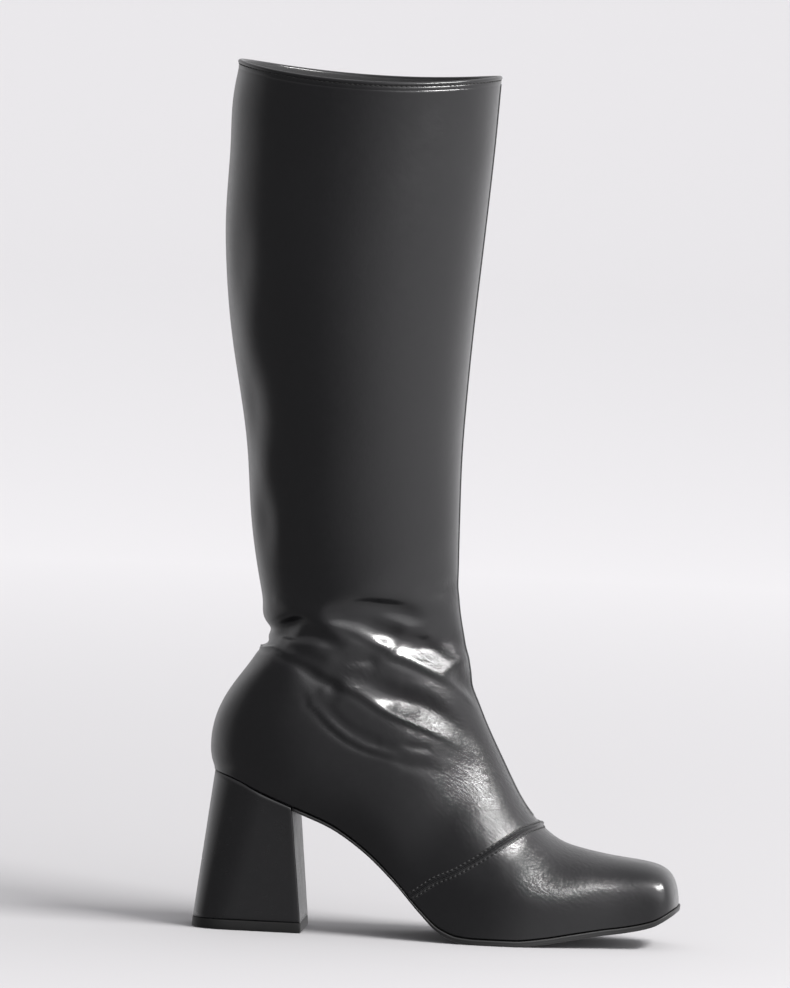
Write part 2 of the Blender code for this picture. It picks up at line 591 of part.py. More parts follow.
def heel_ring(back, front, half_width, roundness, squareness, across):
    """D-shaped ring: rounded back, straight sides, straight breast. Runs outer side, breast, inner."""
    x = foot_stations(HEEL_SEAT_X)
    x = np.concatenate([x[x < HEEL_TOP_LENGTH - 4 * SHORTEST_STEP], [HEEL_TOP_LENGTH]])
    x = back + (front - back) * (x - HEEL_SEAT_X) / (HEEL_TOP_LENGTH - HEEL_SEAT_X)
    into = np.clip((back + roundness - x) / roundness, 0, 1)
    widths = half_width * (1 - into**squareness) ** (1 / squareness)
    outer = np.column_stack([x, -widths])
    inner = np.column_stack([x, widths])[:0:-1]
    shares = np.linspace(0, 1, across + 2)[1:-1, None]
    breast = outer[-1] + (inner[0] - outer[-1]) * shares
    return np.concatenate([outer, breast, inner])


def heel_rings(heights):
    """Rings of the heel at the given shares of the way from the seat (0) to the tip's top (1)."""
    across = 3
    top = heel_ring(HEEL_SEAT_X + HEEL_INSET, HEEL_TOP_LENGTH, 0.5 * SEAT_WIDTH - HEEL_INSET, HEEL_ROUND, 2.2, across)
    low = heel_ring(
        -HEEL_FLARE_BACK + HEEL_SEAT_X,
        HEEL_BOTTOM_LENGTH + HEEL_SEAT_X - HEEL_FLARE_BACK,
        0.5 * HEEL_BOTTOM_WIDTH,
        0.40 * HEEL_BOTTOM_LENGTH,
        3.0,
        across,
    )
    seat = feather(np.clip(top[:, 0], 0, LENGTH)) - HEEL_SEAT_GAP
    rings = []
    for share in heights:
        plane = top + (low - top) * share
        height = seat + (LIFT_HEIGHT + GAP - seat) * share
        rings.append(np.column_stack([plane, height]))
    return rings, low, across


def heel_caps(total, across):
    """Cap faces that join the two sides of a heel ring across it."""
    sides = (total + 1 - across) // 2
    caps = [[0, 1, total - 1]]
    for i in range(1, sides - 1):
        caps.append([i, i + 1, total - 1 - i, total - i])
    caps.append(list(range(sides - 1, sides + across + 1)))
    return caps


def make_heel(material):
    rings, _, across = heel_rings(np.linspace(0, 1, 5))
    return stack("heel_block", rings, heel_caps(len(rings[0]), across), material)


def make_top_lift(material):
    _, low, across = heel_rings([1.0])
    drop = HEEL_FLARE_BACK * LIFT_HEIGHT / HEEL_HEIGHT
    centre = np.array([low[:, 0].mean(), 0.0])
    bottom = low + (low - centre) * (drop / (0.5 * HEEL_BOTTOM_LENGTH))
    rings = [
        np.column_stack([low, np.full(len(low), LIFT_HEIGHT)]),
        np.column_stack([bottom, np.zeros(len(low))]),
    ]
    return stack("heel_top_lift", rings, heel_caps(len(low), across), material)


def make_binding(material):
    """Folded edge that caps the collar: a rounded ring a little thicker than the wall."""
    shares = np.linspace(0, 1, HALF_COLUMNS + 1)
    top = len(SECTIONS) - 1
    outer = section(top, shares)[:-1]
    tangent = np.roll(outer, -1, axis=0) - np.roll(outer, 1, axis=0)
    normal = np.column_stack([tangent[:, 1], -tangent[:, 0], 0 * tangent[:, 0]])
    normal /= np.linalg.norm(normal, axis=1, keepdims=True)
    middle = outer - normal * 0.5 * WALL
    half = 0.5 * WALL + BINDING_PROUD
    # Columns: sideways as a share of the half thickness, height as a share of BINDING_HEIGHT.
    profile = ((1.0, 0.0), (1.1, 0.45), (0.7, 0.88), (0.0, 1.0), (-0.7, 0.88), (-1.0, 0.45), (-0.9, 0.0))
    count, turns = len(outer), len(profile)
    vertices = np.concatenate(
        [middle + normal * (half * out) + np.array([0, 0, GAP + BINDING_HEIGHT * up]) for out, up in profile]
    )
    faces = []
    for k in range(turns):
        m = (k + 1) % turns
        for i in range(count):
            j = (i + 1) % count
            faces.append([k * count + i, k * count + j, m * count + j, m * count + i])
    return add_object("collar_binding", vertices, faces, material)


def ribbon(name, places, width, rise, material):
    """Raised strip that follows (section, share, side) places over the upper, just clear of it."""
    centre = np.array([surface_point(*p) for p in places])
    normal = np.array([surface_normal(*p) for p in places])
    tangent = np.gradient(centre, axis=0)
    tangent /= np.linalg.norm(tangent, axis=1, keepdims=True)
    across = np.cross(normal, tangent)
    # Columns: sideways as a share of the half width, height as a share of the rise.
    profile = ((-1.0, 0.0), (-0.8, 0.55), (-0.35, 1.0), (0.35, 1.0), (0.8, 0.55), (1.0, 0.0))
    rings = [
        np.array([c + a * (0.5 * width * out) + n * (SEAM_CLEARANCE + rise * up) for out, up in profile])
        for c, n, a in zip(centre, normal, across)
    ]
    turns = len(profile)
    caps = [list(range(turns))]
    return stack(name, rings, caps, material)


def make_vamp_seam(material):
    shares = np.linspace(0.03, 1, 15)
    places = [(spline(VAMP_SEAM_ROUTE, s)[0, 0], s, -1) for s in shares]
    places += [(spline(VAMP_SEAM_ROUTE, s)[0, 0], s, 1) for s in shares[-2::-1]]
    return ribbon("vamp_seam", places, VAMP_SEAM_WIDTH, VAMP_SEAM_RISE, material)


def make_front_seam(material):
    start = VAMP_SEAM_ROUTE[-1][1] + 0.42
    places = [(p, 1.0, -1) for p in np.linspace(start, len(SECTIONS) - 1.12, 40)]
    return ribbon("front_seam", places, FRONT_SEAM_WIDTH, FRONT_SEAM_RISE, material)


def make_material(name, colour, roughness):
    material = bpy.data.materials.new(name)
    material.use_nodes = True
    shader = material.node_tree.nodes["Principled BSDF"]
    shader.inputs["Base Color"].default_value = (*colour, 1.0)
    shader.inputs["Roughness"].default_value = roughness
    shader.inputs["Metallic"].default_value = 0.0
    return material


def main():
    for obj in list(bpy.data.objects):
        bpy.data.objects.remove(obj, do_unlink=True)
    leather = make_material("black_leather", (0.012, 0.012, 0.014), 0.28)
    heel_wrap = make_material("heel_wrap", (0.011, 0.011, 0.013), 0.32)
    sole = make_material("sole_rubber", (0.010, 0.010, 0.010), 0.50)
    tip = make_material("tip_rubber", (0.008, 0.008, 0.008), 0.60)
    sock = make_material("sock_lining", (0.030, 0.028, 0.027), 0.70)
    pieces = [
        make_upper(leather),
        make_vamp_seam(leather),
        make_front_seam(leather),
        make_binding(leather),
        make_insole(sock),
        make_outsole(sole),
        make_heel(heel_wrap),
        make_top_lift(tip),
    ]
    corners = np.concatenate([[v.co[:] for v in piece.data.vertices] for piece in pieces])
    middle = (corners.min(axis=0) + corners.max(axis=0)) / 2
    for piece in pieces:
        piece.location = (-middle[0], -middle[1], 0.0)


main()
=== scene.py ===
"""Dressed scene of the right knee-high boot: folded glossy leather, seams, stitches, sole and heel."""

import math

import bmesh
import bpy
import numpy as np
from mathutils import Matrix, Vector
from mathutils.bvhtree import BVHTree


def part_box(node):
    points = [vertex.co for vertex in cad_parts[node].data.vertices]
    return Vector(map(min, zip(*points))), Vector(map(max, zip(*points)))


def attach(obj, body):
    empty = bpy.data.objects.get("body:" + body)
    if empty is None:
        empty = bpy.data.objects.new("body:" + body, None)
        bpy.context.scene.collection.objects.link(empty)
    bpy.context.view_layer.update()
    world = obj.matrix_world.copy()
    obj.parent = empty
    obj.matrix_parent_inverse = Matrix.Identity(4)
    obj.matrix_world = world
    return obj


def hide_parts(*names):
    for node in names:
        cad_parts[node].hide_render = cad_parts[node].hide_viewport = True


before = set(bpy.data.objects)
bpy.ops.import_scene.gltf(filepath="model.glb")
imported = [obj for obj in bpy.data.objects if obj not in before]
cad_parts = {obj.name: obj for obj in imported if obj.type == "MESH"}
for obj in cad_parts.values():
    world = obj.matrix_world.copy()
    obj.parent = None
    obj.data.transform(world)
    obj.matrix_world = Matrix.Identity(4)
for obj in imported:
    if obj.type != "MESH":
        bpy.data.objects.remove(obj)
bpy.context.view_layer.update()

# Driving sizes of the last and the leg, in metres.
LENGTH = 0.2540
BOOT_HEIGHT = 0.4635
HEEL_HEIGHT = 0.0850
TOE_SPRING = 0.0195
BALL_WIDTH = 0.0840
SEAT_WIDTH = 0.0580
TOE_WIDTH = 0.0500
TOE_BOX_HEIGHT = 0.0230
INSTEP_HEIGHT = 0.0590
ANKLE_WIDTH = 0.0780
CALF_WIDTH = 0.1120
COLLAR_WIDTH = 0.1080
COLLAR_TILT = 0.0030
COLLAR_DIP = 0.0055

# Material thicknesses and running clearances.
GAP = 0.0003
SOLE_GAP = 0.00045
HEEL_SEAT_GAP = 0.0004
SOLE_THICKNESS = 0.0030
SHANK_THICKNESS = 0.0016
SOLE_OVERHANG = 0.0009

# Heel block and its replaceable tip.
HEEL_TOP_LENGTH = 0.0475
HEEL_BOTTOM_LENGTH = 0.0592
HEEL_BOTTOM_WIDTH = 0.0490
HEEL_FLARE_BACK = 0.0080
HEEL_INSET = 0.0005
LIFT_HEIGHT = 0.0054

# Trim: the bound edge of the collar and the two raised seams.
BINDING_HEIGHT = 0.0034
VAMP_SEAM_WIDTH = 0.0056
FRONT_SEAM_WIDTH = 0.0030

FEATHER_BASE = SOLE_THICKNESS + SOLE_GAP
SEAT_RISE = HEEL_HEIGHT - FEATHER_BASE
UPPER_TOP = BOOT_HEIGHT - BINDING_HEIGHT - GAP
LEG = UPPER_TOP - COLLAR_TILT - HEEL_HEIGHT

# Underside of the lasted upper. Columns: x as a share of LENGTH, rise as a share of SEAT_RISE.
SHANK_CURVE = (
    (0, 1), (0.06, 0.953), (0.13, 0.86), (0.2, 0.774), (0.27, 0.685), (0.34, 0.545),
    (0.41, 0.352), (0.465, 0.173), (0.51, 0.053), (0.55, 0.008), (0.585, 0), (1, 0),
)
# Columns: x as a share of LENGTH, lift as a share of TOE_SPRING.
SPRING_CURVE = (
    (0, 0), (0.665, 0), (0.73, 0.09), (0.785, 0.22), (0.845, 0.36), (0.9, 0.47), (0.95, 0.63), (1, 1),
)
# Plan of the feather line. Columns: x share of LENGTH, outer and inner half-widths as shares of the width.
PLAN = [
    (x, outer * width, inner * width)
    for width, rows in (
        (SEAT_WIDTH, ((0, 0.5, 0.5), (0.11, 0.5, 0.5), (0.2, 0.5, 0.48), (0.29, 0.5, 0.445))),
        (BALL_WIDTH, ((0.37, 0.37, 0.305), (0.45, 0.42, 0.34), (0.53, 0.47, 0.41), (0.6, 0.49, 0.465))),
        (BALL_WIDTH, ((0.67, 0.478, 0.497), (0.73, 0.44, 0.495), (0.8, 0.385, 0.468))),
        (TOE_WIDTH, ((0.88, 0.54, 0.69), (0.95, 0.48, 0.61), (1, 0.455, 0.565))),
    )
    for x, outer, inner in rows
]
HEEL_ROUND = 0.50 * SEAT_WIDTH
TOE_ROUND = 0.30 * TOE_WIDTH
TOE_SQUARENESS = 4.2
TOE_FLAT = 0.0020 * TOE_ROUND
TOE_CONVEX = 0.0022
TOE_TIP = FEATHER_BASE + TOE_SPRING

# Top line of the boot from the toe tip up the front to the collar, as points of x and height, in three
# stretches. Columns: x share of LENGTH, then shares of the sizes that the height follows.
TOE_LINE = (
    (1, 1, 0), (0.999, 1, 0.17), (0.9955, 1, 0.38), (0.987, 1, 0.62), (0.973, 1, 0.79),
    (0.951, 1, 0.9), (0.913, 0.94, 1.04), (0.852, 0.47, 1.59),
)
INSTEP_LINE = (
    (0.795, 0.85, 0), (0.75, 0.91, 0), (0.71, 1.03, 0), (0.667, 1.01, 0.16), (0.627, 1.01, 0.375),
    (0.588, 1, 0.61),
)
SHIN_LINE = (
    (0.555, 0.124), (0.5335, 0.182), (0.514, 0.243), (0.507, 0.31), (0.505, 0.385), (0.5045, 0.46),
    (0.509, 0.545), (0.517, 0.64), (0.528, 0.74), (0.538, 0.83), (0.547, 0.92), (0.553, 1),
)
FRONT_CURVE = [(x * LENGTH, tip * TOE_TIP + box * TOE_BOX_HEIGHT) for x, tip, box in TOE_LINE]
FRONT_CURVE += [(x * LENGTH, instep * INSTEP_HEIGHT + heel * HEEL_HEIGHT) for x, instep, heel in INSTEP_LINE]
FRONT_CURVE += [(x * LENGTH, HEEL_HEIGHT + up * LEG) for x, up in SHIN_LINE]
# Back line from the heel seat to the collar. Columns: height as a share of LEG, x as a share of LENGTH.
BACK_LINE = (
    (0, 0.012), (0.012, 0.0055), (0.03, 0.002), (0.06, 0.0055), (0.09, 0.019), (0.12, 0.043), (0.15, 0.074),
    (0.178, 0.0985), (0.205, 0.1095), (0.235, 0.103), (0.29, 0.085), (0.37, 0.066), (0.46, 0.0535),
    (0.54, 0.034), (0.62, 0.0115), (0.71, -0.0055), (0.8, -0.0125), (0.9, -0.009), (0.965, -0.0075),
)
BACK_CURVE = [(HEEL_HEIGHT + up * LEG, x * LENGTH) for up, x in BACK_LINE]
BACK_CURVE.append((HEEL_HEIGHT + LEG + COLLAR_TILT, 0.0020 * LENGTH))
HEEL_SEAT_X = BACK_CURVE[0][1]

# Sections of the upper, each in a plane square to the side view, grouped by the width they follow. Columns:
# under  place on the underside, 0 at the toe tip and 1 at the heel seat, then 1 to 2 up the back line
# front  place along the front curve, 0 at the toe tip and 1 at the collar
# hug    how closely the widest line follows the plan, as a share of its half-width
# outer, inner  half-widths added to that, as shares of the group's width
# waist  height of the widest line as a share of the section
# low, high  squareness of the section below and above it, 2 for an ellipse
# ridge  sideways place of the top line towards the inner side, as a share of TOE_WIDTH
SECTION_GROUPS = (
    (
        BALL_WIDTH,
        (0, 0, 1, 0, 0, 0.3, 2, 3.6, 0.055),
        (0.004, 0.012, 1.01, 0, 0, 0.3, 2, 3.5, 0.055),
        (0.014, 0.026, 1.02, 0, 0, 0.3, 2, 3.4, 0.055),
        (0.033, 0.042, 1.03, 0, 0, 0.31, 2, 3.2, 0.055),
        (0.065, 0.059, 1.04, 0, 0, 0.33, 2, 3, 0.055),
        (0.12, 0.086, 1.04, 0, 0, 0.35, 2, 2.7, 0.06),
        (0.195, 0.117, 1.04, 0, 0, 0.34, 2, 2.4, 0.07),
        (0.27, 0.145, 1.03, 0, 0, 0.33, 2, 2.15, 0.075),
        (0.34, 0.179, 1.02, 0, 0, 0.31, 2, 2, 0.07),
        (0.41, 0.215, 1.01, 0, 0, 0.28, 2, 1.9, 0.06),
        (0.478, 0.256, 0.7, 0.145, 0.135, 0.27, 2, 1.9, 0.05),
        (0.545, 0.295, 0.35, 0.275, 0.258, 0.28, 2, 1.9, 0.04),
    ),
    (
        ANKLE_WIDTH,
        (0.625, 0.333, 0, 0.445, 0.415, 0.31, 2.1, 1.95, 0.03),
        (0.712, 0.362, 0, 0.448, 0.428, 0.36, 2.1, 2, 0.02),
        (0.808, 0.389, 0, 0.455, 0.442, 0.38, 2.1, 2, 0.01),
        (0.91, 0.413, 0, 0.465, 0.455, 0.378, 2.1, 2, 0.005),
        (1, 0.434, 0, 0.472, 0.466, 0.38, 2.1, 2, 0),
        (1.04, 0.454, 0, 0.48, 0.475, 0.395, 2.1, 2, 0),
        (1.09, 0.476, 0, 0.486, 0.483, 0.43, 2.1, 2, 0),
        (1.145, 0.499, 0, 0.492, 0.49, 0.46, 2.1, 2, 0),
        (1.205, 0.525, 0, 0.5, 0.5, 0.48, 2.1, 2, 0),
        (1.29, 0.564, 0, 0.535, 0.535, 0.49, 2.1, 2, 0),
    ),
    (
        CALF_WIDTH,
        (1.4, 0.622, 0, 0.42, 0.425, 0.48, 2.1, 2, 0),
        (1.52, 0.69, 0, 0.462, 0.47, 0.48, 2.1, 2, 0),
        (1.65, 0.769, 0, 0.492, 0.503, 0.48, 2.1, 2, 0),
        (1.78, 0.851, 0, 0.5, 0.508, 0.49, 2.1, 2, 0),
    ),
    (
        COLLAR_WIDTH,
        (1.9, 0.931, 0, 0.505, 0.51, 0.5, 2.1, 2, 0),
        (2, 1, 0, 0.5, 0.5, 0.5, 2.1, 2, 0),
    ),
)
SECTIONS = np.array([
    (under, front, hug, outer * width, inner * width, waist, low, high, ridge * TOE_WIDTH)
    for width, *rows in SECTION_GROUPS
    for under, front, hug, outer, inner, waist, low, high, ridge in rows
])
LAST_SECTION = len(SECTIONS) - 1
HEEL_SECTION = 16
DIP_FROM = 25.0
CUP_FROM = 9.0
CUP_FULL = 13.5
# Where the vamp seam crosses the sections. Columns: place among the sections, share of the half section
# from the feather line to the top line.
VAMP_ROUTE = (
    (11.25, 0), (10.95, 0.14), (10.3, 0.3), (9.45, 0.5), (8.75, 0.7), (8.3, 0.88), (8.17, 1),
)

# The visual skin: wall, columns on each side, and how many fine rows and columns make one of the lining.
SKIN_WALL = 0.0017
OUTER_COLUMNS = 114
INNER_COLUMNS = 60
LINING_STEP = 2
LINING_ROWS = 4
# Longest step between rows of the skin. Columns: from section, step in metres.
ROW_STEPS = (
    (0, 0.0008), (5, 0.0013), (8, 0.0018), (10.8, 0.0012), (11.6, 0.00085), (20.6, 0.00085),
    (21.6, 0.002), (26.3, 0.0024),
)

# Folds of the ankle, laid out in the boot's own sizes. Along a ledge the leather rises out of a valley,
# turns over a lip and drops into a thin crease. Columns: section, share of the half section from the
# underside or the back line to the front line, then in millimetres the valley's depth, its distance above
# the lip, its reach above that, the lip's rise, the crease's depth and its reach below.
LEDGES = (
    # Long fold from the back lip across the ankle.
    (
        (19.55, 0, 1.8, 2.5, 4, 1.3, 0.9, 3), (19.35, 0.169, 2, 3, 4, 1.4, 1.2, 3),
        (18.7, 0.3, 1.4, 4, 5, 1, 1.4, 4), (17.95, 0.406, 1, 5, 5, 0.6, 1.2, 5),
        (17.4, 0.456, 1, 5, 5, 0.6, 1.4, 6), (16.85, 0.5, 0.9, 5.5, 6, 0.5, 1.4, 6),
        (16.15, 0.534, 0.9, 6.5, 7, 0.5, 1.2, 6), (15.5, 0.528, 1.2, 7.5, 8, 0.5, 0.8, 5),
        (15, 0.524, 2.4, 8.5, 9, 0.6, 0.5, 5), (14.35, 0.531, 3.6, 10, 9, 0.9, 0.4, 5),
        (13.9, 0.55, 4, 11.5, 9, 1, 0.5, 5), (13.4, 0.575, 3.8, 12, 9, 1.1, 0.5, 5),
        (12.85, 0.613, 3, 11.5, 8, 1, 0.4, 5), (12.25, 0.663, 2, 10, 8, 0.8, 0.2, 5),
        (11.85, 0.706, 1, 8, 7, 0.4, 0, 5), (11.5, 0.738, 0.3, 6, 6, 0.1, 0, 5),
        (11.2, 0.769, 0, 5, 5, 0, 0, 4),
    ),
    # Upper fold below the arch.
    (
        (19.1, 0.4, 0, 2, 3, 0, 0, 3), (18.8, 0.463, 0.5, 3, 4, 0.2, 0.2, 3),
        (18.5, 0.513, 0.9, 4, 5, 0.4, 0.5, 3), (18, 0.569, 1, 6, 6, 0.4, 0.9, 3),
        (17.6, 0.613, 1.4, 6.5, 6, 0.5, 1, 4), (17.15, 0.65, 2.6, 6.5, 7, 0.8, 1, 4),
        (16.75, 0.675, 3, 8, 7, 0.9, 1, 4), (16.35, 0.692, 3.4, 9, 7, 1, 0.9, 4),
        (15.95, 0.706, 3.8, 10, 7, 1.1, 0.8, 5), (15.3, 0.724, 4, 11.5, 7, 1.2, 0.7, 5),
        (14.75, 0.747, 3.8, 12, 7, 1.2, 0.6, 5), (14.2, 0.775, 3, 12, 7, 1, 0.6, 6),
        (13.8, 0.8, 2, 10, 6, 0.8, 0.6, 6), (13.25, 0.831, 1, 7, 6, 0.5, 0.4, 6),
        (12.35, 0.894, 0.4, 6, 5, 0.3, 0.2, 5), (11.95, 0.919, 0, 5, 5, 0, 0, 5),
    ),
    # Edge of the heel counter.
    (
        (17.1, 0.413, 0, 4, 5, 0, 0, 4), (16.75, 0.425, 0.1, 4, 5, 0.1, 0.2, 4),
        (16.3, 0.436, 0.3, 4, 5, 0.3, 0.7, 3.5), (15.8, 0.413, 0.6, 4.5, 5, 0.6, 1.2, 3),
        (15.3, 0.381, 0.8, 5, 5, 0.7, 1.4, 3), (14.95, 0.369, 0.9, 5, 5, 0.7, 1.4, 3),
        (14.55, 0.363, 0.8, 5, 5, 0.6, 1.3, 3), (14.1, 0.369, 0.7, 5, 5, 0.5, 1.1, 3),
        (13.65, 0.388, 0.5, 4.5, 5, 0.4, 0.8, 3), (13.2, 0.419, 0.3, 4, 5, 0.2, 0.4, 3),
        (12.85, 0.456, 0, 4, 5, 0, 0, 3),
    ),
)

# Soft troughs and rolls. Columns: section, share, then in millimetres the height (inwards is negative)
# and the reach above and below the line.
ROLLS = (
    # Arch.
    (
        (19.5, 0.375, 0, 4, 10), (19.5, 0.406, -1.8, 4, 12), (19.3, 0.475, -3.6, 4.2, 13.5),
        (18.92, 0.569, -4.4, 4.2, 15), (18.33, 0.663, -4.7, 4.2, 15), (17.9, 0.725, -4.3, 4, 13),
        (17.5, 0.775, -3.2, 3.4, 10), (16.95, 0.819, -1.2, 3.6, 8), (16.35, 0.856, 0, 4, 6),
    ),
    # Roll under the arch.
    (
        (19.3, 0.425, 0, 3, 3), (19.2, 0.469, 0, 3.5, 3.5), (18.95, 0.531, 0, 4, 4),
        (18.45, 0.613, 0.1, 4, 4), (17.85, 0.681, 0.4, 4, 4), (17.15, 0.738, 0.6, 5, 4),
        (16.4, 0.781, 0.4, 5, 4), (15.95, 0.8, 0, 4, 4),
    ),
    # Pinch at the back.
    (
        (19.95, 0, -2.4, 2.6, 5), (19.9, 0.125, -3.2, 2.6, 5), (19.85, 0.181, -4, 2.6, 5.5),
        (19.8, 0.225, -4.2, 2.6, 5.5), (19.75, 0.263, -3.6, 2.6, 5.5), (19.5, 0.319, -2.8, 2.6, 5),
        (19.05, 0.388, -2, 3, 4.5), (18.6, 0.456, -1.2, 3, 4), (18, 0.525, 0, 3, 3),
    ),
    # Roll over the pinch.
    (
        (20.25, 0, 1.5, 6, 4), (20.15, 0.138, 1.3, 6, 4), (20.1, 0.194, 0.9, 5, 4),
        (20.05, 0.25, 0.7, 5, 4), (19.85, 0.3, 0.5, 5, 4), (19.55, 0.35, 0.3, 4, 3),
        (19.15, 0.406, 0, 4, 3),
    ),
    # Second pinch.
    (
        (19.7, 0, -1.2, 2.6, 3), (19.75, 0.088, -1.5, 2.6, 3), (19.7, 0.156, -2.2, 2.8, 3.2),
        (19.4, 0.256, -2.6, 3, 3.5), (18.9, 0.375, -2.8, 3, 3.5), (18.35, 0.463, -2.4, 3, 3.5),
        (17.9, 0.519, -1.6, 3, 3.5), (17.5, 0.562, 0, 3, 3),
    ),
    # Narrow roll beside the upper fold.
    (
        (19.45, 0.35, 0.2, 2.5, 3), (18.95, 0.425, 0.4, 2.5, 3), (18.3, 0.513, 0.2, 2.5, 3),
        (17.75, 0.575, 0, 2.5, 3),
    ),
    # Hollow below the long fold.
    (
        (18.5, 0.312, 0, 4, 5), (18.1, 0.375, -1, 4, 6), (17.55, 0.431, -1.8, 4.5, 7),
        (16.85, 0.475, -2.2, 5, 7), (16.15, 0.506, -1.8, 5, 6), (15.8, 0.481, -0.8, 4, 5),
        (15.55, 0.469, 0, 3, 4),
    ),
    # Small hollow between the folds.
    (
        (17.55, 0.506, 0, 3, 3), (17.15, 0.55, -1.2, 3.5, 3.5), (16.65, 0.6, -1.6, 3.5, 3.5),
        (16.15, 0.638, -1.4, 3.5, 3.5), (15.65, 0.631, 0, 3, 3),
    ),
    # Front hollow under the upper fold.
    (
        (13.8, 0.794, 0, 4, 5), (13.5, 0.838, -1.4, 4.5, 6), (13.2, 0.888, -2.2, 5, 7),
        (12.85, 0.95, -2.2, 5, 7),
    ),
    # Swell over it.
    (
        (14.05, 0.788, 0, 4, 3), (14, 0.838, 0.8, 4, 3.5), (13.85, 0.9, 1, 4.5, 3.5),
        (13.8, 0.956, 0.8, 4.5, 3.5),
    ),
    # Front hollow above the upper fold.
    (
        (16, 0.8, 0, 5, 5), (15.65, 0.812, -1.4, 5.5, 5.5), (15.35, 0.85, -2.2, 6, 6),
        (14.95, 0.9, -2, 6, 6), (14.5, 0.944, -0.8, 5, 5),
    ),
    # Dent high at the front.
    (
        (18.2, 0.775, 0, 4, 4), (17.95, 0.831, -0.9, 4.5, 4), (17.6, 0.894, -1.5, 5, 4.5),
        (17.4, 0.944, -1.2, 5, 4.5), (17.25, 1, -0.5, 5, 4),
    ),
    # Short crease.
    (
        (13.35, 0.469, 0, 1.6, 1.6), (13.15, 0.494, -0.8, 1.7, 1.7), (12.9, 0.519, -0.9, 1.7, 1.7),
        (12.6, 0.556, -0.6, 1.7, 1.7), (12.35, 0.581, 0, 1.6, 1.6),
    ),
    # End of the counter edge.
    (
        (13.3, 0.406, 0, 4, 4), (12.9, 0.431, -0.7, 4, 4), (12.45, 0.481, -0.8, 4, 4),
        (12, 0.531, -0.4, 4, 4), (11.6, 0.569, 0, 4, 4),
    ),
)
# Soft dents and swells of the leather elsewhere. Columns: section, share, depth, reach up, reach across.
DENTS = (
    (21.6, 0.17, -0.0012, 0.014, 0.009), (22.3, 0.2, 0.0009, 0.016, 0.01),
    (23, 0.16, -0.0012, 0.02, 0.01), (23.8, 0.2, 0.0009, 0.022, 0.011),
    (21.2, 0.24, 0.0008, 0.01, 0.01), (24.6, 0.17, -0.0008, 0.022, 0.011),
    (25.9, 0.83, -0.0007, 0.012, 0.014), (10.3, 0.62, 0.0006, 0.014, 0.016),
    (9.6, 0.36, -0.0006, 0.008, 0.01),
)
# Wrinkled places in the side view. Columns: x, z, reach in metres, strength.
WORN = (
    (0.006, 0.151, 0.026, 0.9), (-0.004, 0.118, 0.030, 1.0), (0.034, 0.072, 0.036, 1.0),
    (0.016, 0.088, 0.034, 0.9), (-0.043, 0.140, 0.016, 0.7), (0.068, 0.042, 0.036, 0.8),
    (0.098, 0.026, 0.026, 0.4), (0.002, 0.184, 0.014, 0.9), (-0.012, 0.433, 0.016, 0.7),
)
# Where the smooth upper is made even, and how far from there, in sections.
HEEL_EVENED = 1.3
INSTEP_SECTION = 11.1
INSTEP_EVENED = 1.9
# Folds: the first section that has any, their strength on the inner side, how far one reaches and how
# softly its line counts.
FIRST_FOLDED = 8.5
INNER_STRENGTH = 0.8
FOLD_REACH = 0.022
LINE_SOFTNESS = 0.0009
# Seams: share of the half width where the stitches run, their pitch, how deep they pull the seam in, how
# far a seam's strip reaches into the skin, and the height of the collar's roll above its stitches.
STITCH_ROW = 0.66
STITCH_PITCH = 0.0026
STITCH_PULL = 0.0005
RIBBON_DEPTH = 0.0006
COLLAR_ROLL = 0.0023
# Directions towards the key light and towards the middle of the glow round it, the light all round, and
# where the camera stands.
KEY = (0.630, -0.321, 0.707)
GLOW = (0.580, -0.580, 0.574)
AMBIENT = 0.24
CAMERA_PLACE = (0.45044846, -6.44060609, 0.65799458)


def unit(vectors):
    return vectors / np.maximum(np.linalg.norm(vectors, axis=-1, keepdims=True), 1e-12)


def smooth_step(t):
    t = np.clip(t, 0, 1)
    return t * t * (3 - 2 * t)


def travelled(points):
    """Length of a line of points up to each of them."""
    return np.concatenate([[0], np.cumsum(np.linalg.norm(np.diff(points, axis=0), axis=1))])


def along_line(at, reach, points):
    """Values at the lengths `at` of a line whose points lie at the lengths `reach`."""
    return np.column_stack([np.interp(at, reach, column) for column in points.T])


def smooth_rows(values, rounds, weight=1.0):
    """Rows drawn to the mean of their neighbours; the first and the last stay."""
    for _ in range(rounds):
        even = values.copy()
        even[1:-1] = 0.25 * values[:-2] + 0.5 * values[1:-1] + 0.25 * values[2:]
        values = values + (even - values) * weight
    return values


def spline(rows, at):
    """Values at `at` of the natural cubic spline through rows of (key, value, value, ...)."""
    table = np.array(rows, float)
    keys, values = table[:, 0], table[:, 1:]
    steps = np.diff(keys)
    count = len(keys)
    matrix = np.eye(count)
    right = np.zeros((count, values.shape[1]))
    for i in range(1, count - 1):
        matrix[i, i - 1 : i + 2] = steps[i - 1], 2 * (steps[i - 1] + steps[i]), steps[i]
        right[i] = 6 * ((values[i + 1] - values[i]) / steps[i] - (values[i] - values[i - 1]) / steps[i - 1])
    bends = np.linalg.solve(matrix, right)
    at = np.clip(np.atleast_1d(np.asarray(at, float)), keys[0], keys[-1])
    i = np.clip(np.searchsorted(keys, at, side="right") - 1, 0, count - 2)
    h = steps[i][:, None]
    a = (keys[i + 1] - at)[:, None] / h
    b = 1 - a
    return a * values[i] + b * values[i + 1] + ((a**3 - a) * bends[i] + (b**3 - b) * bends[i + 1]) * h**2 / 6


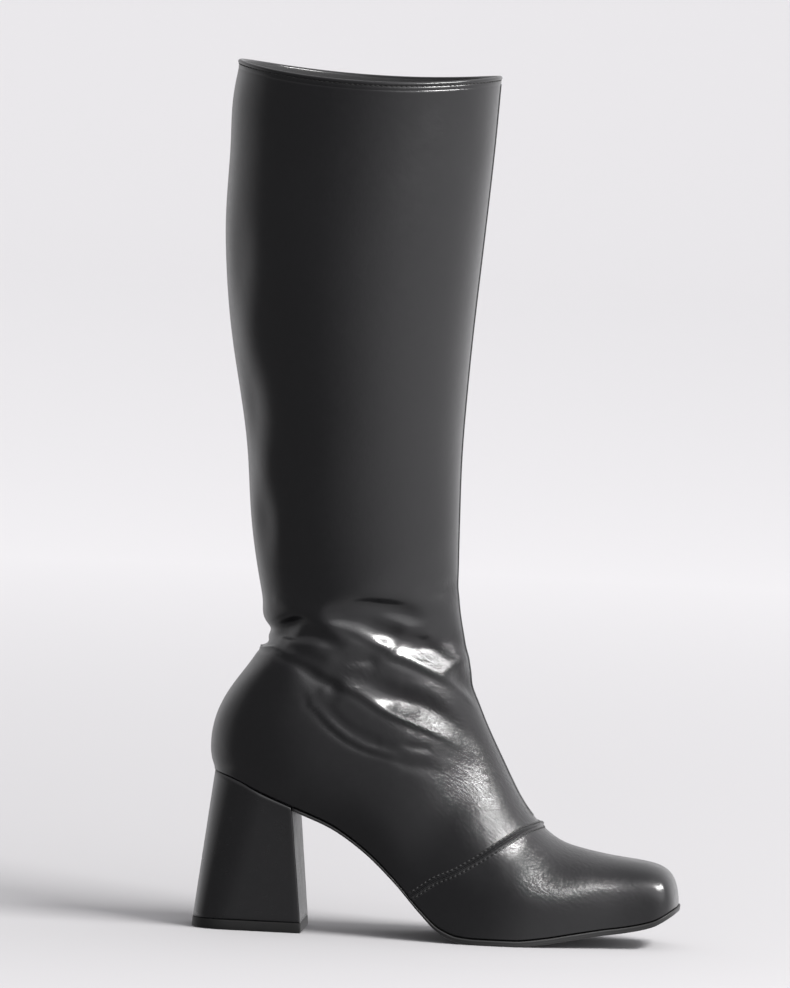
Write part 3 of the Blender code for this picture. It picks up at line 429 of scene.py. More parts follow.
def steady(rows, at):
    """Like spline, but it never passes a local high or low of its table: a monotone cubic."""
    table = np.array(rows, float)
    keys, values = table[:, 0], table[:, 1:]
    steps = np.diff(keys)[:, None]
    slopes = np.diff(values, axis=0) / steps
    tangents = np.zeros_like(values)
    same = slopes[:-1] * slopes[1:] > 0
    w1 = 2 * steps[1:] + steps[:-1]
    w2 = steps[1:] + 2 * steps[:-1]
    safe = np.where(same, slopes[:-1], 1), np.where(same, slopes[1:], 1)
    tangents[1:-1] = np.where(same, (w1 + w2) / (w1 / safe[0] + w2 / safe[1]), 0)
    tangents[0], tangents[-1] = slopes[0], slopes[-1]
    at = np.clip(np.atleast_1d(np.asarray(at, float)), keys[0], keys[-1])
    i = np.clip(np.searchsorted(keys, at, side="right") - 1, 0, len(keys) - 2)
    t = ((at - keys[i]) / (keys[i + 1] - keys[i]))[:, None]
    h = steps[i]
    return (
        (1 + 2 * t) * (1 - t) ** 2 * values[i]
        + t * (1 - t) ** 2 * h * tangents[i]
        + t * t * (3 - 2 * t) * values[i + 1]
        + t * t * (t - 1) * h * tangents[i + 1]
    )


def feather(x):
    """Height of the lasted upper's underside at x."""
    share = np.asarray(x, float) / LENGTH
    rise = steady(SHANK_CURVE, share.ravel())[:, 0]
    spring = steady(SPRING_CURVE, share.ravel())[:, 0]
    return (FEATHER_BASE + SEAT_RISE * rise + TOE_SPRING * spring).reshape(share.shape)


def plan(x):
    """Outer and inner half-widths of the feather line at x: round at the heel, square at the toe."""
    x = np.atleast_1d(np.asarray(x, float))
    widths = spline(PLAN, x / LENGTH)
    into_heel = np.clip((HEEL_SEAT_X + HEEL_ROUND - x) / HEEL_ROUND, 0, 1)
    into_toe = np.clip((x - LENGTH + TOE_ROUND) / (TOE_ROUND + TOE_FLAT), 0, 1)
    heel = np.sqrt(1 - into_heel**2)
    toe = (1 - into_toe**TOE_SQUARENESS) ** (1 / TOE_SQUARENESS)
    return widths * (heel * toe)[:, None]


def toe_bend(points):
    """Bends the front of the toe so that its straight edge is slightly convex in plan."""
    near = np.clip((points[..., 0] - 0.80 * LENGTH) / (0.20 * LENGTH), 0, 1) ** 2
    middle = 0.055 * TOE_WIDTH
    side = (points[..., 1] - middle) / (0.5 * TOE_WIDTH)
    bent = points.copy()
    bent[..., 0] -= TOE_CONVEX * near * side**2
    bent[..., 2] += feather(bent[..., 0]) - feather(points[..., 0])
    return bent


def arc_table(points):
    """Arc-length shares of a smooth curve through points, and the curve itself, as one table."""
    points = np.array(points, float)
    chord = travelled(points)
    curve = spline(np.column_stack([chord, points]), np.linspace(0, 1, 4001) * chord[-1])
    length = travelled(curve)
    return np.column_stack([length / length[-1], curve])


FRONT_TABLE = arc_table(FRONT_CURVE)


def back_point(place):
    """Point on the underside (0 to 1, toe to heel seat) or on the back line (1 to 2, seat to collar)."""
    place = np.atleast_1d(np.asarray(place, float))
    under_x = LENGTH + (HEEL_SEAT_X - LENGTH) * np.clip(place, 0, 1)
    under = np.column_stack([under_x, feather(under_x)])
    low, high = BACK_CURVE[0][0], BACK_CURVE[-1][0]
    height = low + (high - low) * np.clip(place - 1, 0, 1)
    above = np.column_stack([spline(BACK_CURVE, height)[:, 0], height])
    return np.where((place <= 1)[:, None], under, above)


def half_section(width, foot, waist, low, high, cup):
    """(share of the height, half-width) from the feather line, or the back line, to the top line.

    With cup 0 the widest line lies at `waist` of the height; with cup 1 the section is the part of a
    closed oval above the feather line, which keeps the heel cup smooth behind the seat.
    """
    start = math.asin(min(0.999, foot / width) ** (low / 2))
    base = math.cos(start) ** (2 / low)
    flat = waist / max(base, 1e-6)
    oval = waist / (1 - waist * (1 - base))
    reach = flat + (oval - flat) * cup
    below = np.linspace(start, math.pi / 2, 700)
    above = np.linspace(math.pi / 2, math.pi, 700)[1:]
    up_low = reach * (base - np.abs(np.cos(below)) ** (2 / low))
    out_low = width * np.sin(below) ** (2 / low)
    up_high = reach * base + (1 - reach * base) * np.abs(np.cos(above)) ** (2 / high)
    out_high = width * np.abs(np.sin(above)) ** (2 / high)
    up, out = np.concatenate([up_low, up_high]), np.concatenate([out_low, out_high])
    out[-1] = 0
    return up, out


def section(place, shares):
    """Points of the outer surface on one section plane, at `shares` of each half, outer side first."""
    under, front = steady(np.column_stack([np.arange(len(SECTIONS)), SECTIONS[:, :2]]), place)[0]
    hug, outer, inner, waist, low, high, ridge = spline(SECTIONS[:, 1:], front)[0]
    bottom, top = back_point(under)[0], along_line([front], FRONT_TABLE[:, 0], FRONT_TABLE[:, 1:])[0]
    along = top - bottom
    size = np.linalg.norm(along)
    feet = plan(bottom[0])[0] if under < 1 else (0.0, 0.0)
    cup = smooth_step((place - CUP_FROM) / (CUP_FULL - CUP_FROM))
    dip = COLLAR_DIP * np.clip((place - DIP_FROM) / (LAST_SECTION - DIP_FROM), 0, 1) ** 2
    halves = []
    for side, foot, own in ((-1, feet[0], outer), (1, feet[1], inner)):
        width = max(hug * foot + own, foot * 1.0005, 1e-6)
        up, out = half_section(width, foot, waist, low, high, cup)
        travel = np.concatenate([[0], np.cumsum(np.hypot(np.diff(up) * size, np.diff(out)))])
        up = np.interp(shares * travel[-1], travel, up)
        out = np.interp(shares * travel[-1], travel, out)
        x, z = bottom[0] + along[0] * up, bottom[1] + along[1] * up
        z = z - dip * (out / width) ** 2
        lean = ridge * up**2 if place < HEEL_SECTION else 0 * up
        halves.append(np.column_stack([x, side * out + lean, z]))
    return np.concatenate([halves[0], halves[1][-2::-1]])


def part_to_world():
    """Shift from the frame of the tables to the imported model's frame."""
    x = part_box("outsole")[0][0] - (HEEL_TOP_LENGTH + GAP)
    low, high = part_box("upper")
    calf = np.arange(23, 27.1, 0.25)
    widest = np.array([section(place, np.linspace(0, 1, 33))[:, 1] for place in calf])
    y = 0.5 * (low[1] + high[1]) - 0.5 * (widest.min() + widest.max())
    return np.array([x, y, 0.0])


def row_places():
    """Places of the skin's rows, so that no step along a row is longer than ROW_STEPS asks."""
    coarse = np.linspace(0, LAST_SECTION, 901)
    points = np.array([section(p, np.linspace(0, 1, 9)) for p in coarse])
    moves = np.linalg.norm(np.diff(points, axis=0), axis=2)
    steps = np.interp(0.5 * (coarse[1:] + coarse[:-1]), *np.transpose(ROW_STEPS))
    need = np.percentile(moves, 75, axis=1) / steps
    travel = np.concatenate([[0], np.cumsum(need)])
    places = np.interp(np.linspace(0, travel[-1], int(travel[-1]) + 2), travel, coarse)
    places[np.abs(places - HEEL_SECTION).argmin()] = HEEL_SECTION
    return places


def grid_normals(grid, closed_from):
    """Outward normals of a grid of rows of points; rows from closed_from on are closed loops."""
    up = np.empty_like(grid)
    up[1:-1] = grid[2:] - grid[:-2]
    up[0], up[-1] = grid[1] - grid[0], grid[-1] - grid[-2]
    across = np.empty_like(grid)
    across[:, 1:-1] = grid[:, 2:] - grid[:, :-2]
    across[:, 0] = grid[:, 1] - grid[:, 0]
    across[:, -1] = grid[:, -1] - grid[:, -2]
    seam = grid[closed_from:, 1] - grid[closed_from:, -2]
    across[closed_from:, 0] = seam
    across[closed_from:, -1] = seam
    return unit(np.cross(across, up))


class Sheet:
    """The smooth upper as a fine grid of points and normals, in the world's frame."""

    def __init__(self, shift):
        outer = np.linspace(0, 1, OUTER_COLUMNS + 1)
        inner = np.linspace(0, 1, INNER_COLUMNS + 1)
        self.places = row_places()
        self.heel_row = int(np.nonzero(self.places == HEEL_SECTION)[0][0])
        self.share = np.concatenate([outer, inner[-2::-1]])
        rows = []
        for place in self.places:
            left = section(place, outer)[: OUTER_COLUMNS + 1]
            right = section(place, inner)[INNER_COLUMNS + 1 :]
            rows.append(np.concatenate([left, right]))
        above_seat = smooth_step(self.share / 0.10)
        grid = self.evened(np.array(rows), HEEL_SECTION, HEEL_EVENED, 220, above_seat)
        sides = smooth_step(self.share / 0.12) * smooth_step((1 - self.share) / 0.10)
        grid = self.evened(grid, INSTEP_SECTION, INSTEP_EVENED, 200, sides)
        self.points = toe_bend(grid) + shift
        self.normals = grid_normals(self.points, self.heel_row)

    def evened(self, grid, middle, reach, rounds, across):
        """The grid made even near one section, by as much as `across` says for each column."""
        near = np.exp(-(((self.places - middle) / reach) ** 4))
        return smooth_rows(grid, rounds, (near[:, None] * across)[:, :, None])

    def at(self, places, shares, side):
        """Points and outward normals at sections and shares of one side, -1 the outer side."""
        r = np.interp(places, self.places, np.arange(len(self.places)))
        shares = np.asarray(shares, float)
        c = shares * OUTER_COLUMNS if side < 0 else len(self.share) - 1 - shares * INNER_COLUMNS
        r0 = np.clip(r.astype(int), 0, len(self.places) - 2)
        c0 = np.clip(c.astype(int), 0, len(self.share) - 2)
        u, v = (r - r0)[:, None], (c - c0)[:, None]
        found = []
        for grid in (self.points, self.normals):
            low = grid[r0, c0] * (1 - v) + grid[r0, c0 + 1] * v
            high = grid[r0 + 1, c0] * (1 - v) + grid[r0 + 1, c0 + 1] * v
            found.append(low * (1 - u) + high * u)
        return found[0], unit(found[1])


def line_values(table, count, side, sheet, smoothing=0):
    """Evenly spaced points, normals, tangents and the other columns along a table's route."""
    table = np.array(table, float)
    reach = travelled(sheet.at(table[:, 0], table[:, 1], side)[0])
    values = steady(np.column_stack([reach, table]), np.linspace(0, reach[-1], count))
    values = smooth_rows(values, smoothing)
    points, normals = sheet.at(values[:, 0], np.clip(values[:, 1], 0, 1), side)
    return points, normals, unit(np.gradient(points, axis=0)), values[:, 2:]


def near_line(points, table, count, side, sheet, smoothing):
    """The points near a table's line: which they are, their distance to it and its values there.

    The distance is positive above the line. Both are means over the line, weighted so steeply that only
    the nearest stretch counts, which keeps them smooth where the line bends.
    """
    line, normals, tangents, values = line_values(table, count, side, sheet, smoothing)
    low, high = line.min(axis=0) - FOLD_REACH, line.max(axis=0) + FOLD_REACH
    near = np.nonzero(np.all((points > low) & (points < high), axis=1))[0]
    gaps = points[near][:, None, :] - line[None]
    away = np.sqrt(np.einsum("ijk,ijk->ij", gaps, gaps))
    weight = np.exp(-(away - away.min(axis=1, keepdims=True)) / LINE_SOFTNESS)
    weight /= weight.sum(axis=1, keepdims=True)
    signed = np.einsum("ijk,jk->ij", gaps, np.cross(normals, tangents) * -side)
    return near, (weight * signed).sum(axis=1), weight @ values


def fold_depth(points, side, sheet):
    """How far each point moves along its normal for the folds of one side, in metres."""
    total = np.zeros(len(points))
    for table in LEDGES:
        near, away, values = near_line(points, table, 160, side, sheet, 70)
        depth, flank, above, lip, crease, below = values.T
        away = away * 1000
        rise = np.clip(1 - away / np.maximum(flank, 0.1), 0, 1) ** 1.5
        valley = 1 - smooth_step((away - flank) / np.maximum(above, 0.1))
        upper = np.where(away < flank, -depth + (depth + lip) * rise, -depth * valley)
        down = -away
        drop = 4 - 2.4 * np.clip(crease / 0.4, 0, 1)
        lower = lip * (1 - smooth_step(down / drop))
        lower -= crease * smooth_step(down / 1.2) * (1 - smooth_step((down - 1.2) / np.maximum(below, 0.1)))
        total[near] += 0.001 * np.where(away > 0, upper, lower)
    for table in ROLLS:
        near, away, values = near_line(points, table, 120, side, sheet, 30)
        height, above, below = values.T
        ratio = 1000 * away / np.where(away > 0, above, below)
        total[near] += 0.001 * height * np.exp(-(ratio**2))
    return total


def dent_depth(points, side, sheet):
    """The same for the soft dents and swells elsewhere."""
    total = np.zeros(len(points))
    for place, share, depth, tall, wide in DENTS:
        centre, normal = (v[0] for v in sheet.at(np.array([place]), np.array([share]), side))
        upward = unit(np.array([0.0, 0.0, 1.0]) - normal * normal[2])
        across = np.cross(normal, upward)
        gap = points - centre
        ratio = (gap @ upward / tall) ** 2 + (gap @ across / wide) ** 2 + (gap @ normal / 0.03) ** 2
        total += depth * np.exp(-ratio)
    return total


def even_out(grid, rounds, factor):
    for _ in range(rounds):
        mean = 0.25 * (grid[:-2, 1:-1] + grid[2:, 1:-1] + grid[1:-1, :-2] + grid[1:-1, 2:])
        grid[1:-1, 1:-1] += factor * (mean - grid[1:-1, 1:-1])
    return grid


def skin_depths(flat, sheet):
    """Depth of the folds, dents and swells over the whole grid, faded out at its edges."""
    share, places, heel_row = sheet.share, sheet.places, sheet.heel_row
    rows, columns = flat.shape[:2]
    depth = np.zeros((rows, columns))
    first = int(np.searchsorted(places, FIRST_FOLDED))
    halves = ((-1, 1.0, slice(0, OUTER_COLUMNS + 1)), (1, INNER_STRENGTH, slice(OUTER_COLUMNS, columns)))
    for side, strength, half in halves:
        block = flat[first:, half]
        cloud = block.reshape(-1, 3)
        moved = strength * (fold_depth(cloud, side, sheet) + dent_depth(cloud, side, sheet))
        moved = moved.reshape(block.shape[:2])
        if side > 0:
            moved[:, 0] = 0.5 * (moved[:, 0] + depth[first:, OUTER_COLUMNS])
        depth[first:, half] = moved
    front = 0.45 + 0.55 * smooth_step((1 - share) / 0.07)
    depth *= front[None, :] * smooth_step((LAST_SECTION - places) / 0.3)[:, None]
    seam = 0.5 * (depth[heel_row:, 0] + depth[heel_row:, -1])
    depth[heel_row:, 0] = depth[heel_row:, -1] = seam
    depth[:heel_row] *= smooth_step(share / 0.06)[None, :]
    return depth


def lining_points(flat, depth, outer, sheet):
    """The lining, a wall's thickness inside the deepest skin near each point."""
    deepest = depth.copy()
    for _ in range(4):
        wide = np.pad(deepest, 1, mode="edge")
        sides = (wide[1:-1, 1:-1], wide[:-2, 1:-1], wide[2:, 1:-1], wide[1:-1, :-2], wide[1:-1, 2:])
        deepest = np.minimum.reduce(sides)
    rough = even_out(flat + sheet.normals * deepest[:, :, None], 16, 0.8)
    inwards = grid_normals(rough, sheet.heel_row)
    inwards[:2] = inwards[2]
    inner = rough - inwards * SKIN_WALL
    at_sole = np.clip(1 - sheet.share / 0.03, 0, 1)
    inner[: sheet.heel_row] += at_sole[None, :, None] * np.array([0, 0, SKIN_WALL])
    inner[-1] = outer[-1] - grid_normals(outer, sheet.heel_row)[-1] * SKIN_WALL
    inner[sheet.heel_row :, -1] = inner[sheet.heel_row :, 0]
    return inner


def make_skin(leather, lining, sheet):
    """The upper's outer skin with its folds, turned in at the collar and the feather line, and its lining."""
    flat, heel_row = sheet.points, sheet.heel_row
    rows, columns = flat.shape[:2]
    depth = skin_depths(flat, sheet)
    outer = even_out(flat + sheet.normals * depth[:, :, None], 4, 0.45)
    join = 0.5 * (outer[heel_row:, 1] + outer[heel_row:, -2])
    outer[heel_row + 2 : -1, 0] += 0.3 * (join - outer[heel_row:, 0])[2:-1]
    outer[heel_row:, -1] = outer[heel_row:, 0]
    inner = lining_points(flat, depth, outer, sheet)
    inner_rows = sorted({*range(0, heel_row, LINING_ROWS), *range(heel_row, rows, LINING_ROWS), rows - 1})
    inner_columns = list(range(0, columns, LINING_STEP))
    coarse = inner[np.ix_(inner_rows, inner_columns)]
    vertices = np.concatenate([outer.reshape(-1, 3), coarse.reshape(-1, 3)])
    faces, kinds = skin_faces(rows, columns, heel_row, inner_rows, inner_columns)
    skin = new_object("boot_skin", vertices, faces, [leather, lining], kinds)
    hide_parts("upper")
    return outer


def grid_quads(index):
    """Faces between neighbouring rows and columns of a grid of vertex numbers."""
    corners = (index[:-1, :-1], index[:-1, 1:], index[1:, 1:], index[1:, :-1])
    return np.stack(corners, axis=-1).reshape(-1, 4)


def skin_faces(rows, columns, heel_row, inner_rows, inner_columns):
    """Faces of the fine outside, the coarser lining, and the strips that close them at the rims."""
    index = np.arange(rows * columns).reshape(rows, columns)
    index[heel_row:, -1] = index[heel_row:, 0]
    coarse = rows * columns + np.arange(len(inner_rows) * len(inner_columns)).reshape(len(inner_rows), -1)
    open_rows = sum(1 for r in inner_rows if r < heel_row)
    coarse[open_rows:, -1] = coarse[open_rows:, 0]
    outside = grid_quads(index).tolist()
    inside = grid_quads(coarse)[:, ::-1].tolist()
    # Each rim: its fine line, its coarse line, the fine places of the coarse points, and how many strips.
    rims = (
        (index[-1], coarse[-1], inner_columns, len(inner_columns) - 1),
        (index[0], coarse[0], inner_columns, len(inner_columns) - 1),
        (index[:, 0], coarse[:, 0], inner_rows, open_rows),
        (index[:, -1], coarse[:, -1], inner_rows, open_rows),
    )
    strips = []
    for fine, thick, places, count in rims:
        for k in range(count):
            strip = fine[places[k] : places[k + 1] + 1].tolist()
            strips.append(strip + [int(thick[k + 1]), int(thick[k])])
    kinds = [0] * len(outside) + [1] * len(inside) + [0] * len(strips)
    return outside + inside + strips, kinds


def new_object(name, vertices, faces, materials, face_materials=None, body="root"):
    mesh = bpy.data.meshes.new(name)
    mesh.from_pydata([tuple(v) for v in vertices], [], faces)
    for material in materials:
        mesh.materials.append(material)
    if face_materials is not None:
        mesh.polygons.foreach_set("material_index", np.asarray(face_materials, dtype=np.int32))
    mesh.update()
    work = bmesh.new()
    work.from_mesh(mesh)
    bmesh.ops.remove_doubles(work, verts=work.verts, dist=1e-6)
    bmesh.ops.recalc_face_normals(work, faces=work.faces)
    work.to_mesh(mesh)
    work.free()
    mesh.shade_smooth()
    obj = bpy.data.objects.new(name, mesh)
    bpy.context.scene.collection.objects.link(obj)
    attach(obj, body)
    return obj


def set_inputs(tree, node, inputs):
    """Sets inputs of a node to plain values, or links them to other nodes' outputs."""
    for name, value in inputs.items():
        if isinstance(value, bpy.types.NodeSocket):
            tree.links.new(value, node.inputs[name])
        else:
            node.inputs[name].default_value = value


def add_node(tree, kind, inputs, **settings):
    node = tree.nodes.new("ShaderNode" + kind)
    for name, value in settings.items():
        setattr(node, name, value)
    set_inputs(tree, node, inputs)
    return node


def new_material(name):
    """A bare material, its node tree, its shader and the object's own coordinates."""
    material = bpy.data.materials.new(name)
    material.use_nodes = True
    tree = material.node_tree
    tree.nodes.clear()
    shader = add_node(tree, "BsdfPrincipled", {})
    add_node(tree, "OutputMaterial", {"Surface": shader.outputs["BSDF"]})
    return material, tree, shader, add_node(tree, "TexCoord", {}).outputs["Object"]


def noise(tree, coords, scale, detail=3.0, roughness=0.5):
    inputs = {"Vector": coords, "Scale": scale, "Detail": detail, "Roughness": roughness}
    return add_node(tree, "TexNoise", inputs).outputs["Fac"]


def mapped(tree, coords, **changes):
    return add_node(tree, "Mapping", {"Vector": coords, **changes}).outputs["Vector"]


def ramp(tree, source, low, high, out_low, out_high, kind="LINEAR"):
    inputs = {"Value": source, "From Min": low, "From Max": high, "To Min": out_low, "To Max": out_high}
    return add_node(tree, "MapRange", inputs, interpolation_type=kind).outputs["Result"]


def combined(tree, operation, a, b):
    return add_node(tree, "Math", {0: a, 1: b}, operation=operation).outputs[0]


def bump(tree, height, strength, distance, before=None):
    inputs = {"Height": height, "Strength": strength, "Distance": distance}
    if before:
        inputs["Normal"] = before
    return add_node(tree, "Bump", inputs).outputs["Normal"]


def tint(tree, source, dark, light):
    inputs = {"Factor": source, "A": (*dark, 1), "B": (*light, 1)}
    return add_node(tree, "Mix", inputs, data_type="RGBA").outputs["Result"]


def masked(tree, coords, source, places):
    """The source's value, kept only near places in the side view: x, z, reach and strength."""
    total = 0.0
    for x, z, reach, strength in places:
        centred = mapped(tree, coords, Location=(-x / reach, 0, -z / reach), Scale=(1 / reach, 0, 1 / reach))
        length = add_node(tree, "VectorMath", {0: centred}, operation="LENGTH").outputs["Value"]
        total = combined(tree, "MAXIMUM", total, ramp(tree, length, 1.0, 0.3, 0.0, strength, "SMOOTHSTEP"))
    return combined(tree, "MULTIPLY", total, source)


def leather_material(name, dark, light, roughness, grain=1.0, worn=()):
    """Smooth coated leather: fine pebble grain, hair-fine wrinkles, slow unevenness of gloss."""
    material, tree, shader, coords = new_material(name)
    slow = noise(tree, coords, 34.0)
    fine = noise(tree, coords, 900.0, 4.0, 0.6)
    wrinkle = noise(tree, mapped(tree, coords, Scale=(1.0, 1.0, 1.7)), 150.0, 6.0, 0.62)
    cells = add_node(tree, "TexVoronoi", {"Vector": coords, "Scale": 1150.0}, feature="SMOOTH_F1")
    normal = bump(tree, slow, 0.22 * grain, 0.0010)
    normal = bump(tree, wrinkle, 0.30 * grain, 0.00022, normal)
    if worn:
        slanted = mapped(tree, coords, Rotation=(0, -math.radians(35.0), 0))
        lines = noise(tree, mapped(tree, slanted, Scale=(260.0, 500.0, 1150.0)), 1.0, 4.0, 0.6)
        normal = bump(tree, masked(tree, coords, lines, worn), 0.9, 0.00046, normal)
    normal = bump(tree, cells.outputs["Distance"], 0.22 * grain, 0.00010, normal)
    inputs = {
        "Base Color": tint(tree, slow, dark, light),
        "Roughness": ramp(tree, wrinkle, 0.3, 0.7, roughness - 0.04, roughness + 0.05),
        "Normal": bump(tree, fine, 0.15 * grain, 0.00006, normal),
    }
    set_inputs(tree, shader, inputs)
    return material


def streaked_material(name, dark, light, roughness):
    """Coated wrap pulled down tight, with fine upright streaks."""
    material, tree, shader, coords = new_material(name)
    streaks = noise(tree, mapped(tree, coords, Scale=(500.0, 900.0, 16.0)), 1.0, 4.0, 0.7)
    inputs = {
        "Base Color": tint(tree, streaks, dark, light),
        "Roughness": ramp(tree, streaks, 0.3, 0.7, roughness - 0.1, roughness + 0.25),
        "Normal": bump(tree, streaks, 0.8, 0.0005),
    }
    set_inputs(tree, shader, inputs)
    return material


def plain_material(name, dark, light, roughness, scale, depth, specular=0.5):
    """Moulded or cut material with a slight unevenness at the given scale."""
    material, tree, shader, coords = new_material(name)
    fine = noise(tree, coords, scale, 5.0, 0.65)
    inputs = {
        "Base Color": tint(tree, noise(tree, coords, scale * 0.15, 4.0, 0.6), dark, light),
        "Roughness": ramp(tree, fine, 0.3, 0.7, roughness - 0.06, roughness + 0.08),
        "Normal": bump(tree, fine, 0.4, depth),
        "Specular IOR Level": specular,
    }
    set_inputs(tree, shader, inputs)
    return material


def cloth_material(name, dark, light, pitch):
    """Fine woven lining."""
    material, tree, shader, coords = new_material(name)
    wave = {"Vector": coords, "Scale": 0.314 / pitch, "Distortion": 0.6}
    waves = [add_node(tree, "TexWave", wave, bands_direction=axis).outputs["Fac"] for axis in ("X", "Z")]
    inputs = {
        "Base Color": tint(tree, noise(tree, coords, 40.0), dark, light),
        "Normal": bump(tree, combined(tree, "MAXIMUM", *waves), 0.5, 0.0002),
        "Roughness": 0.82,
        "Sheen Weight": 0.2,
    }
    set_inputs(tree, shader, inputs)
    return material


class Surface:
    """Nearest-point lookups on the finished outer skin, for what is laid on it."""

    def __init__(self, grid):
        rows, columns = grid.shape[:2]
        quads = grid_quads(np.arange(rows * columns).reshape(rows, columns))
        self.tree = BVHTree.FromPolygons([Vector(p) for p in grid.reshape(-1, 3)], quads.tolist())

    def lay(self, points, outwards):
        """Nearest points on the skin, with normals turned the way of `outwards`."""
        found, normals = [], []
        for point, way in zip(points, outwards):
            place, normal, _, _ = self.tree.find_nearest(Vector(point))
            if normal.dot(Vector(way)) < 0:
                normal = -normal
            found.append(place)
            normals.append(normal)
        return np.array(found), np.array(normals)


def over_front(route, count, sheet):
    """Points, outward normals and tangents along a route up the outer side and down the inner one."""
    left = line_values(route, count, -1, sheet)
    right = line_values(route, count, 1, sheet)
    points, normals = (np.concatenate([left[i], right[i][-2::-1]]) for i in (0, 1))
    return points, normals, unit(np.gradient(points, axis=0))


def shell(name, rings, materials, caps=None, kinds=None):
    """Closed body through equal rings of points; without caps the rings themselves run in a loop."""
    count, turns = np.shape(rings)[:2]
    index = np.arange(count * turns).reshape(count, turns)
    if caps is None:
        index = np.concatenate([index, index[:1]])
    faces = grid_quads(np.column_stack([index, index[:, 0]])).tolist()
    marks = [0] * len(faces) if kinds is None else list(kinds) * (len(index) - 1)
    for cap in caps or ():
        faces += [cap, [index[-1, v] for v in cap[::-1]]]
        marks += [0, 0]
    return new_object(name, np.concatenate(rings), faces, materials, marks)


def laid_ribbon(name, base, profile, half_width, surface, material, pitch=None):
    """Strip with a relief profile (share of half width, height) that follows the folded skin."""
    points, normals, tangents = base
    across = np.cross(normals, tangents)
    columns = [surface.lay(points + across * (half_width * out), normals) for out, _ in profile]
    feet = smooth_rows(np.stack([c[0] for c in columns], axis=1), 1)
    ways = unit(smooth_rows(np.stack([c[1] for c in columns], axis=1), 3))
    places, heights = np.transpose(profile)
    heights = np.repeat(heights[None], len(points), axis=0)
    if pitch:
        holes = (0.5 + 0.5 * np.cos(2 * math.pi * travelled(points) / pitch)) ** 2
        row = np.exp(-(((np.abs(places) - STITCH_ROW) / 0.16) ** 2))
        heights -= STITCH_PULL * holes[:, None] * row[None, :]
    tops = feet + ways * heights[:, :, None]
    under = feet[:, ::-1] - ways[:, ::-1] * RIBBON_DEPTH
    rings = np.concatenate([tops, under], axis=1)
    return shell(name, rings, [material], [list(range(rings.shape[1]))])


def stitches(name, lines, pitch, length, radius, material):
    """Rows of thread stitches: short rounded bars, their ends sunk into the holes."""
    around = 6
    # Columns: place along the stitch, thickness, height; all as shares.
    half = ((-0.5, 0.30, -0.9), (-0.42, 0.85, -0.1), (-0.2, 1.0, 0.35))
    shape = np.array(half + tuple((-along, thick, high) for along, thick, high in half[::-1]))
    turn = 2 * math.pi * np.arange(around) / around
    forward = np.repeat(length * shape[:, 0], around)[:, None]
    upward = radius * (shape[:, 2:] + shape[:, 1:2] * np.sin(turn)).reshape(-1, 1)
    sideways = radius * (shape[:, 1:2] * np.cos(turn)).reshape(-1, 1)
    bars = []
    for points, normals in lines:
        reach = travelled(points)
        count = int(reach[-1] / pitch)
        at = (np.arange(count) + 0.5) * (reach[-1] / count)
        ends = [along_line(at + end * length, reach, points) for end in (0.5, -0.5)]
        way = unit(ends[0] - ends[1])
        normal = unit(along_line(at, reach, normals))
        side = np.cross(normal, way)
        middle = along_line(at, reach, points)
        for c, w, n, s in zip(middle, way, normal, side):
            bars.append(c + w * forward + n * upward + s * sideways)
    index = np.arange(len(shape) * around).reshape(len(shape), around)
    bar = grid_quads(np.column_stack([index, index[:, 0]])).tolist() + [index[0, ::-1], index[-1]]
    size = len(shape) * around
    faces = [[k * size + int(v) for v in face] for k in range(len(bars)) for face in bar]
    return new_object(name, np.concatenate(bars), faces, [material])


def make_vamp_seam(surface, sheet, leather, thread):
    """The pressed-open seam with a stitch row on each side of its ridge."""
    # Columns: share of the half width, height above the skin in metres.
    half = (
        (0.00, 0.00165), (0.07, 0.00150), (0.15, 0.00095), (0.24, 0.00040), (0.36, 0.00036),
        (0.50, 0.00030), (0.66, 0.00010), (0.78, 0.00034), (0.90, 0.00030), (1.00, -0.00015),
    )
    profile = [(-place, height) for place, height in half[:0:-1]] + list(half)
    base = over_front(VAMP_ROUTE, 250, sheet)
    half_width = 0.5 * VAMP_SEAM_WIDTH
    strip = laid_ribbon("boot_vamp_seam", base, profile, half_width, surface, leather, STITCH_PITCH)
    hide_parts("vamp_seam")
    points, normals, tangents = (v[6:-6] for v in base)
    across = np.cross(normals, tangents)
    lines = []
    for side in (-1, 1):
        foot, way = surface.lay(points + across * (side * STITCH_ROW * half_width), normals)
        lines.append((foot + way * 0.00016, smooth_rows(way, 3)))
    stitches("boot_vamp_stitches", lines, STITCH_PITCH, 0.0019, 0.00034, thread)


def make_front_seam(surface, sheet, leather):
    """The two fine ridges of the seam down the front, with the groove between them."""
    half = ((0.16, 0.00012), (0.40, 0.00034), (0.62, 0.00046), (0.85, 0.00022), (1.00, -0.00012))
    profile = [(-place, height) for place, height in half[::-1]] + [(0.0, -0.00004)] + list(half)
    route = [(place, 1.0) for place in np.linspace(VAMP_ROUTE[-1][0] + 0.40, LAST_SECTION - 0.02, 40)]
    base = line_values(route, 420, -1, sheet)[:3]
    strip = laid_ribbon("boot_front_seam", base, profile, 0.5 * FRONT_SEAM_WIDTH, surface, leather)
    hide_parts("front_seam")


